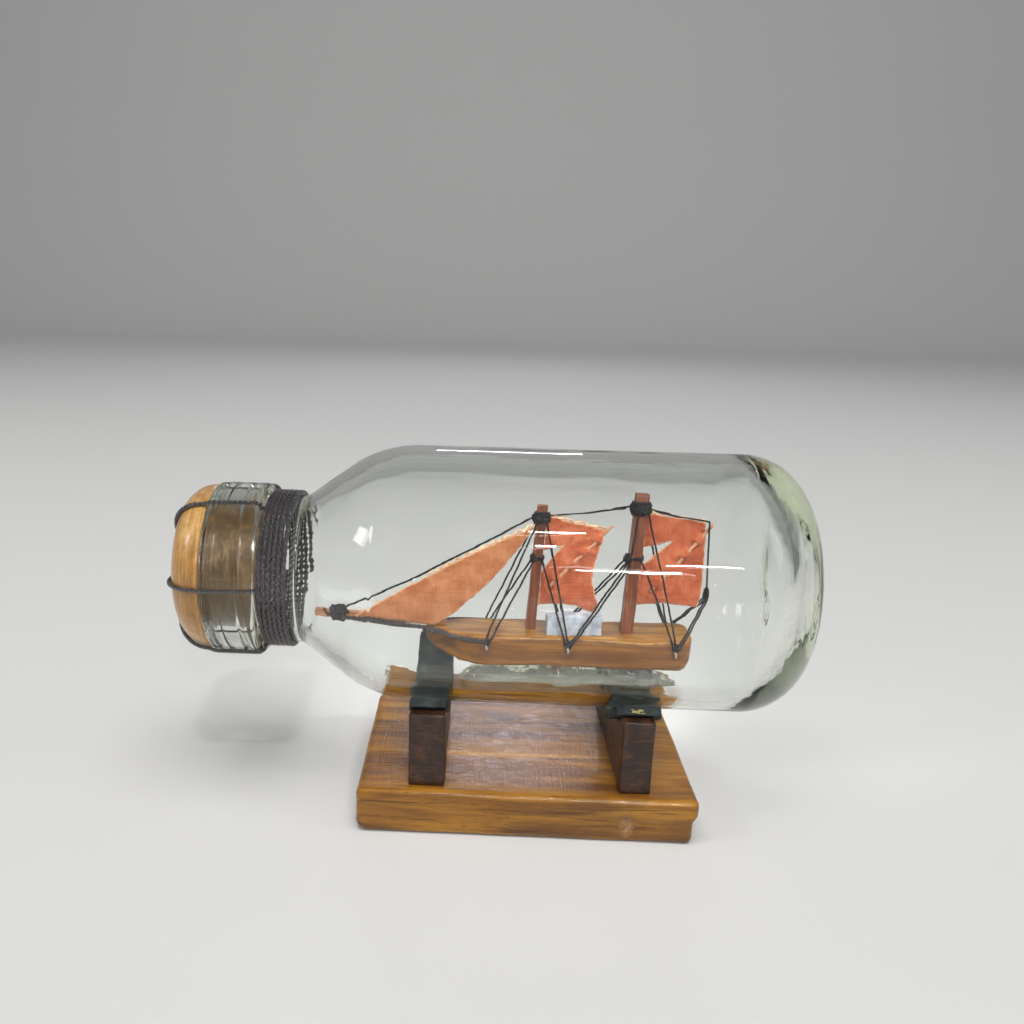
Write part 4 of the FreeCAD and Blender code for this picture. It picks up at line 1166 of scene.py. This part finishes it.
def make_deckhouse():
    low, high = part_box("deckhouse")
    centre = (low + high) / 2
    turn = Matrix.Rotation(math.radians(4), 3, "Z")
    size = Vector((11.5, 2.9, 4.1)) * MM / 2

    def bend(p):
        q = p + rough(p + centre, 0.8, 0.10)
        q.z += 0.25 * MM * noise.noise(Vector((q.x / MM * 0.6, 0, 2))) if q.z > 0 else 0
        q = turn @ q + centre
        return Vector([min(max(q[n], low[n]), high[n]) for n in range(3)])

    verts, faces = rounded_box(-size, size, 0.25 * MM, 0.35 * MM, bend)
    tidy_mesh(piece("deck_cabin", verts, faces, "bottle", house_paint(), ["deckhouse"]))


# ---------------------------------------------------------------- ship, sails

def inside_polygon(p, line):
    odd = False
    for a, b in zip(line, line[1:] + line[:1]):
        if (a.y > p.y) != (b.y > p.y) and p.x < a.x + (p.y - a.y) * (b.x - a.x) / (b.y - a.y):
            odd = not odd
    return odd


def edge_distance(p, line):
    best = 1e9
    for a, b in zip(line, line[1:] + line[:1]):
        d = b - a
        t = max(0.0, min(1.0, (p - a).dot(d) / max(d.length_squared, 1e-12)))
        best = min(best, (p - a - d * t).length)
    return best


def make_sail(name, corners, belly, offset, node, material, fringe, ragged=0.12):
    """A cut cloth: an outline in the ship's frame, filled with an even net and bellied by belly(x, z)."""
    line = outline(corners, 0.45)
    seed = Vector((len(name), offset * 3, 1.7))
    cut = []
    for n, p in enumerate(line):
        shift = noise.noise(Vector((p.x * 0.9, p.y * 0.9, 3.0)) + seed) * ragged
        along = (line[(n + 1) % len(line)] - line[n - 1]).normalized()
        cut.append(p + Vector((-along.y, along.x)) * (shift + 0.5 * ragged) * 1.0)
    xs, zs = [p.x for p in cut], [p.y for p in cut]
    points = list(cut)
    step, row = 0.5, 0
    z = min(zs) + step / 2
    while z < max(zs):
        x = min(xs) + (row % 2) * step / 2
        while x < max(xs):
            p = Vector((x, z))
            if inside_polygon(p, cut) and edge_distance(p, cut) > step * 0.45:
                points.append(p)
            x += step
        z += step * 0.87
        row += 1
    count = len(cut)
    rim = [(n, (n + 1) % count) for n in range(count)]
    flat_points, edges, triangles, *rest = delaunay_2d_cdt(points, rim, [list(range(count))], 1, 1e-5)
    half = 0.1 * MM
    verts, fray = [], []
    for side in (1, -1):
        for p in flat_points:
            q = ship(p.x, offset + belly(p.x, p.y), p.y)
            verts.append(q + Vector((0, side * half, 0)))
            fray.append(max(0.0, 1 - edge_distance(p, cut) / 0.75))
    size = len(flat_points)
    faces = [tuple(t) for t in triangles] + [tuple(size + k for k in reversed(t)) for t in triangles]
    uses = {}
    for t in triangles:
        for a, b in zip(t, list(t[1:]) + [t[0]]):
            uses[(a, b)] = uses.get((a, b), 0) + 1
    faces += [(b, a, size + a, size + b) for a, b in uses if (b, a) not in uses]
    low, high = cad_low, cad_high
    made = piece(name, verts, faces, "bottle", material, [node])
    mark = made.data.attributes.new("fray", "FLOAT", "POINT")
    mark.data.foreach_set("value", fray[:len(made.data.vertices)])
    tidy_mesh(made)
    threads = make_fringe(name + "_fray", cut, belly, offset, fringe)
    return made


def make_fringe(name, cut, belly, offset, fringe):
    """Loose pale fibres along the cut edge and, where hem(p) is true, a scalloped rolled edge."""
    own = random.Random(len(name) * 13)
    parts, roll = [], []
    count = len(cut)
    run = 0.0
    for n, p in enumerate(cut + cut[:1]):
        q = cut[(n + 1) % count]
        p = cut[n % count]
        step = max((q - p).length, 1e-6)
        along = (q - p) / step
        out = Vector((along.y, -along.x))
        run += step
        if fringe["hem"](p) and n < count:
            scallop = 0.05 + 0.5 * abs(math.sin(run * fringe["beat"])) + own.uniform(-0.05, 0.05)
            at = p + out * scallop
            roll.append(ship(at.x, offset + belly(p.x, p.y) - 0.10 + 0.12 * math.sin(run * 2.3), at.y))
        elif len(roll) > 3:
            parts.append(twist(smooth_line(roll, 4), 0.25 * MM, 1.5 * MM, 0.18 * MM))
            roll = []
        else:
            roll = []
        for k in range(fringe.get("density", 3)):
            reach = fringe["tuft"](p) * own.uniform(0.35, 1.0)
            if reach < 0.05 or own.random() < 0.3 or n == count:
                continue
            root = p.lerp(q, own.random()) - out * 0.15
            lean, curl = own.uniform(-0.8, 0.8), own.uniform(-0.6, 0.6)
            line = []
            for m in range(5):
                t = m / 4
                at = root + out * (reach * t) + along * (reach * (lean * t + curl * t * t))
                side = offset + belly(root.x, root.y) + own.uniform(-0.03, 0.03) + 0.35 * reach * curl * t * t
                line.append(ship(at.x, side, at.y))
            parts.append(tube(line, own.uniform(0.05, 0.085) * MM, 4, lambda t: 1 - 0.6 * t))
    verts, faces = joined(parts)
    return piece(name, verts, faces, "bottle", FRAY)


def woven(foot, head, dashes, depth, billow):
    """Cloth that billows away from a stick and steps from side to side where the stick goes through."""
    foot, head = Vector(foot), Vector(head)
    way = head - foot

    def belly(x, z):
        p = Vector((x, z)) - foot
        t = p.dot(way) / way.length_squared
        off = abs(p.x * way.y - p.y * way.x) / way.length
        past = max(0.0, -t, t - 1) * way.length
        close = math.exp(-(max(off, past) / 2.6) ** 2)
        step = max(-1.0, min(1.0, 2.6 * math.sin(2 * math.pi * dashes * t + 0.9) - 0.1))
        crimp = 0.10 * noise.noise(Vector((x * 0.9, z * 0.9, foot.x)))
        return depth * step * math.exp(-(off / 0.7) ** 2 - past ** 2) + billow(x, z) * (1 - close) + crimp

    return belly


FORE_GAFF = ((4.0, 9.2), (16.6, 23.3))
MAIN_GAFF = ((25.0, 8.8), (37.3, 24.2))


def luff(mast, rise):
    return (mast_at(mast, rise) + mast["width"] / 2 + 0.05, rise)


def make_sails():
    red, pale = sail_cloth(), jib_cloth()

    def fore_billow(x, z):
        return 0.8 * math.sin((x - 2) * 0.27) * math.sin((z - 4) * 0.15) + 0.2 * noise.noise(Vector((x * 0.35, z * 0.35, 1)))

    def main_billow(x, z):
        return 0.7 * math.sin((x - 22) * 0.2) * math.sin((z - 5) * 0.14) + 0.2 * noise.noise(Vector((x * 0.35, z * 0.35, 4)))

    fore_belly = woven(*FORE_GAFF, 4.6, 0.6, fore_billow)
    main_belly = woven(*MAIN_GAFF, 4.6, 0.6, main_billow)

    def jib_belly(x, z):
        drop = max(0.0, min(1.0, (x + 38) / 20)) * max(0.0, min(1.0, (1 - x) / 12))
        return -0.55 * drop + 0.25 * noise.noise(Vector((x * 0.3, z * 0.3, 8)))

    jib = [(-20.2, 0.3, -300), (0.45, 23.0, 72), (-38.3, 1.3, 288)]
    fore = [luff(FORE, 4.8), (9.7, 5.1, -30), (13.6, 3.9), (14.6, 5.5), (13.0, 11.3, -30), (13.9, 17.0, -40),
            (14.9, 22.2, 40), luff(FORE, 25.2), luff(FORE, 17.3), (6.4, 18.3), luff(FORE, 12.7)]
    main = [luff(MAIN, 5.8), (27.7, 6.5, -60), (35.4, 5.8), (36.0, 8.7), (36.1, 16.5), (35.9, 24.5),
            luff(MAIN, 26.4), luff(MAIN, 18.4), (29.0, 20.1), luff(MAIN, 14.7)]

    def jib_tuft(p):
        upper = p.y > 1.3 + (p.x + 38.3) * 0.53
        return (0.75 + 0.35 * math.sin(p.x * 1.9)) if upper else 0.22

    def fore_tuft(p):
        if p.y > 22:
            return 0.7
        return 0.1 if p.x < 4.5 else 0.45

    def main_tuft(p):
        if p.y > 24 and p.x > 25:
            return 1.3 * max(0.0, math.sin((p.x - 25) * 1.55)) + 0.3
        return 0.1 if p.x < 25 else 0.38

    def jib_hem(p):
        return p.y > 3.2 + (p.x + 38.3) * 0.50 and p.x > -36

    def fore_hem(p):
        return p.y > 21.6 and p.x > 3.4

    def main_hem(p):
        return p.y > 24.3 and p.x > 24.2

    make_sail("jib_cloth", jib, jib_belly, -1.0, "jib_sail", pale,
              {"tuft": jib_tuft, "hem": jib_hem, "beat": 1.1, "held_by": "bowsprit_stick", "density": 3})
    make_sail("fore_cloth", fore, fore_belly, 0.0, "fore_sail", red,
              {"tuft": fore_tuft, "hem": fore_hem, "beat": 0.9, "held_by": "fore_mast_stick"})
    make_sail("main_cloth", main, main_belly, 0.0, "main_sail", red,
              {"tuft": main_tuft, "hem": main_hem, "beat": 0.8, "held_by": "main_mast_stick"})


def make_gaffs():
    bare = gaff_wood()
    for name, (foot, head), node in (("fore_gaff_stick", FORE_GAFF, "fore_gaff"), ("main_gaff_stick", MAIN_GAFF, "main_gaff")):
        start, end = ship(foot[0], 0, foot[1]), ship(head[0], 0, head[1])
        line = [start.lerp(end, n / 24) for n in range(25)]
        verts, faces = tube(line, 0.36 * MM, 10)
        verts = [v + rough(v, 1.0, 0.07) for v in verts]
        piece(name, verts, faces, "bottle", bare, [node])


# ---------------------------------------------------------------- ship, staples, lashings, rigging

STAPLES = (-8.9, 8.2, 30.4)
STAPLE_OUT = 6.35
TIE_OUT = 6.35
TIE_UP = -1.1
QUARTER = Vector((37.0, 0, 8.7))
LASHING = Vector((-40.9, 0, 1.75))


def bent_wire(points, radius, sides=10):
    """A wire through points with its corners rounded."""
    line = [points[0]]
    for before, here, after in zip(points, points[1:], points[2:]):
        cut = min((here - before).length, (after - here).length) * 0.45
        start = here + (before - here).normalized() * cut
        end = here + (after - here).normalized() * cut
        line += [start.lerp(here, t).lerp(here.lerp(end, t), t) for t in (n / 6 for n in range(7))]
    line.append(points[-1])
    return tube(line, radius, sides)


def make_staples():
    silver = metal("StapleWire", (0.78, 0.77, 0.76, 1), 0.18)
    for side, sign in (("port", -1), ("starboard", 1)):
        parts = []
        for x in STAPLES:
            lean = dice.uniform(-0.15, 0.15)
            out, deep = sign * STAPLE_OUT, sign * (HALF_BEAM / MM - 1.2)
            low, high = -3.3, -1.05
            stops = [ship(x - lean, deep, low), ship(x - lean, out, low), ship(x + lean, out, high), ship(x + lean, deep, high)]
            parts.append(bent_wire(stops, 0.3 * MM))
        verts, faces = joined(parts)
        piece(f"wire_staples_{side}", verts, faces, "bottle", silver, [f"rail_staples_{side}"])


def wound_path(mast, low, high, turns, spread, slant):
    """Turns of thread round a square mast, each a little askew."""
    half = mast["width"] / 2 + 0.24
    points = []
    steps = 28
    for n in range(int(turns * steps) + 1):
        t = n / (turns * steps)
        a = 2 * math.pi * n / steps
        squash = max(abs(math.cos(a)), abs(math.sin(a)))
        reach = half / (squash ** 0.72) + spread * (0.5 - 0.5 * math.cos(2 * math.pi * t * 2))
        z = low + (high - low) * (0.5 - 0.5 * math.cos(math.pi * 2 * t)) + slant * math.cos(a + 2.4 * t)
        points.append(ship(mast_at(mast, z) + reach * math.cos(a), reach * math.sin(a), z))
    return points


def knot_path(centre, size, loops, seed):
    """A small irregular ball of thread."""
    own = random.Random(seed)
    tilt, phase = own.uniform(0, 3), own.uniform(0, 3)
    points = []
    for n in range(loops * 22 + 1):
        a = 2 * math.pi * n / 22
        b = tilt + n * 0.13
        p = Vector((math.cos(a) * math.cos(b), math.sin(a) * 0.8, math.cos(a) * math.sin(b) + 0.25 * math.sin(3 * a + phase)))
        points.append(centre + Vector((p.x * size[0], p.y * size[1], p.z * size[2])) * MM)
    return points


def thread_piece(name, paths, node, material, radius=0.27):
    parts = [twist(path, radius * MM, 1.1 * MM, 0.12 * MM) for path in paths]
    verts, faces = joined(parts)
    return piece(name, verts, faces, "bottle", material, [node])


def make_lashings(material):
    thread_piece("fore_head_winding", [wound_path(FORE, 23.9, 25.6, 5.4, 0.34, 0.3),
                                       wound_path(FORE, 24.2, 25.2, 3.2, 0.5, -0.42),
                                       knot_path(ship(1.2, -1.5, 24.7), (1.0, 0.5, 0.8), 5, 11)], "foremast_head_lashing", material, 0.3)
    thread_piece("main_head_winding", [wound_path(MAIN, 26.1, 28.2, 6.4, 0.34, 0.35),
                                       wound_path(MAIN, 26.5, 27.8, 3.2, 0.5, -0.5),
                                       knot_path(ship(22.0, -1.75, 27.0), (1.3, 0.5, 0.9), 6, 12)], "mainmast_head_lashing", material, 0.32)
    thread_piece("fore_mid_winding", [wound_path(FORE, 15.5, 16.0, 2.2, 0.05, 0.02),
                                      knot_path(ship(0.2, -1.3, 15.9), (0.5, 0.4, 0.9), 4, 9)], "foremast_mid_lashing", material)
    thread_piece("main_mid_winding", [wound_path(MAIN, 16.2, 16.8, 2.2, 0.05, 0.02),
                                      knot_path(ship(19.75, -1.75, 16.6), (0.8, 0.55, 1.0), 5, 5)],
                 "mainmast_mid_lashing", material)
    thread_piece("quarter_knot_turns", [knot_path(ship(*QUARTER), (0.5, 0.45, 1.35), 9, 6)], "quarter_knot", material)
    bow = []
    for layer, (ring, start, end, turns) in enumerate(((1.15, -42.2, -39.6, 6), (1.6, -41.9, -40.0, 4))):
        path = []
        for n in range(turns * 30 + 1):
            t, a = n / (turns * 30), 2 * math.pi * n / 30
            reach = ring + 0.12 * math.sin(5 * a + layer)
            x = start + (end - start) * t
            path.append(ship(x, reach * math.cos(a), LASHING.z + reach * math.sin(a) * 0.95 - (x - LASHING.x) * 0.04))
        bow.append(path)
    bow.append([ship(-41.8, -1.0, 2.0), ship(-42.8, -0.95, 1.7), ship(-43.6, -0.5, 2.75)])
    bow.append([ship(-39.9, -1.2, 2.4), ship(-39.3, -1.3, 2.9), ship(-38.8, -1.5, 2.5)])
    thread_piece("sprit_winding", bow, "bowsprit_lashing", material, 0.36)


def sagged(start, end, sag, steps=14):
    """A line that hangs a little below the straight one."""
    return [start.lerp(end, n / steps) - Vector((0, 0, 4 * sag * MM * (n / steps) * (1 - n / steps))) for n in range(steps + 1)]


def mast_side(mast, rise, forward=0.0):
    return Vector((mast_at(mast, rise) - forward, -(mast["width"] / 2 + 0.2), rise))


def tied(x):
    return Vector((x, -TIE_OUT, TIE_UP))


def make_rigging(material, waxed):
    """Every line runs from knot to knot; the port set is mirrored to starboard."""
    fore, mid, aft = (tied(x) for x in STAPLES)
    beside = Vector((0.5, 0, 0))
    quarter = QUARTER + Vector((0, -0.45, -0.6))
    main_mid = mast_side(MAIN, 16.4, 1.0)
    sets = {
        "foremast_shrouds": [(fore - beside, mast_side(FORE, 24.4, 0.6)), (fore + beside, mast_side(FORE, 15.8, 0.6))],
        "waist_lines": [(mid - beside, mast_side(FORE, 15.8, -0.8)), (mid, mast_side(FORE, 24.4, -1.0)),
                        (mid + beside * 0.4, main_mid), (main_mid, mast_side(MAIN, 27.0, 0.4)),
                        (mid + beside * 1.6, main_mid + Vector((0, 0.1, -1.3)))],
        "mainmast_shrouds": [(aft - beside, mast_side(MAIN, 16.4, -1.0)), (aft, mast_side(MAIN, 27.0, -1.2))],
        "quarter_lines": [(aft + beside * 0.6, quarter), (aft + beside * 1.8, quarter + Vector((0.3, 0, -0.5)))],
    }
    knots = {"foremast_shrouds": fore, "waist_lines": mid, "mainmast_shrouds": aft}
    for node, lines in sets.items():
        for side, sign in (("port", 1), ("starboard", -1)):
            paths = []
            for start, end in lines:
                a, b = (ship(p.x, p.y * sign, p.z) for p in (start, end))
                paths.append(sagged(a, b, dice.uniform(-0.12, 0.18)))
            if node in knots:
                place = knots[node]
                paths.append(knot_path(ship(place.x, place.y * sign, place.z), (0.62, 0.42, 0.62), 5, len(node)))
            thread_piece(f"{node}_{side}_thread", paths, f"{node}_{side}", material, 0.245)
    head, sprit = ship(mast_at(FORE, 25.0) - FORE["width"] / 2 - 0.2, 0, 25.0), ship(-40.1, 0, 3.05)
    thread_piece("forestay_thread", [sagged(sprit, head, 0.75, 24)], "forestay", material, 0.27)
    thread_piece("masthead_stay_thread", [sagged(ship(mast_at(FORE, 25.0) + 1.25, 0, 25.0), ship(mast_at(MAIN, 27.4) - 1.5, 0, 27.4), 0.25)],
                 "masthead_stay", material, 0.23)
    peak = Vector((36.3, -0.8, 24.8))
    thread_piece("peak_thread", [sagged(ship(mast_at(MAIN, 26.9) + 1.5, 0, 26.9), ship(*peak), 0.0)], "peak_line", material, 0.23)
    thread_piece("leech_thread", [sagged(ship(*peak), ship(37.0, -0.2, 9.6), -0.05)], "leech_line", material, 0.23)
    guy = [Vector((-8.9, -6.45, -0.95)), Vector((-15.0, -5.4, -0.6)), Vector((-21.6, -2.5, -0.1)),
           Vector((-40.5, -1.6, 1.55))]
    for side, sign in (("port", 1), ("starboard", -1)):
        line = smooth_line([ship(p.x, p.y * sign, p.z) for p in guy])
        verts, faces = braid(line, 0.6 * MM, 2.2 * MM, 0.16 * MM)
        piece(f"guy_{side}_cord", verts, faces, "bottle", waxed, [f"guy_cord_{side}"])


def smooth_line(points, steps=12):
    """A Catmull-Rom line through the points."""
    ends = [points[0] * 2 - points[1]] + points + [points[-1] * 2 - points[-2]]
    line = [points[0]]
    for a, b, c, d in zip(ends, ends[1:], ends[2:], ends[3:]):
        for n in range(1, steps + 1):
            t = n / steps
            line.append(0.5 * ((2 * b) + (c - a) * t + (2 * a - 5 * b + 4 * c - d) * t * t + (3 * b - a - 3 * c + d) * t ** 3))
    return line


# ---------------------------------------------------------------- the whole scene

scene.cycles.glossy_bounces = 12
scene.cycles.transmission_bounces = 16
scene.cycles.max_bounces = 16
make_camera()
make_lights()
make_floor()
make_stand()
make_glass()
make_stopper()
cord_stuff, thread_stuff = waxed_cord(), black_thread()
make_whipping(cord_stuff)
make_lashing(cord_stuff)
make_glue_bed()
make_hull()
make_masts()
make_deckhouse()
FRAY = fray_fibre()
make_sails()
make_gaffs()
make_staples()
make_lashings(thread_stuff)
make_rigging(thread_stuff, cord_stuff)
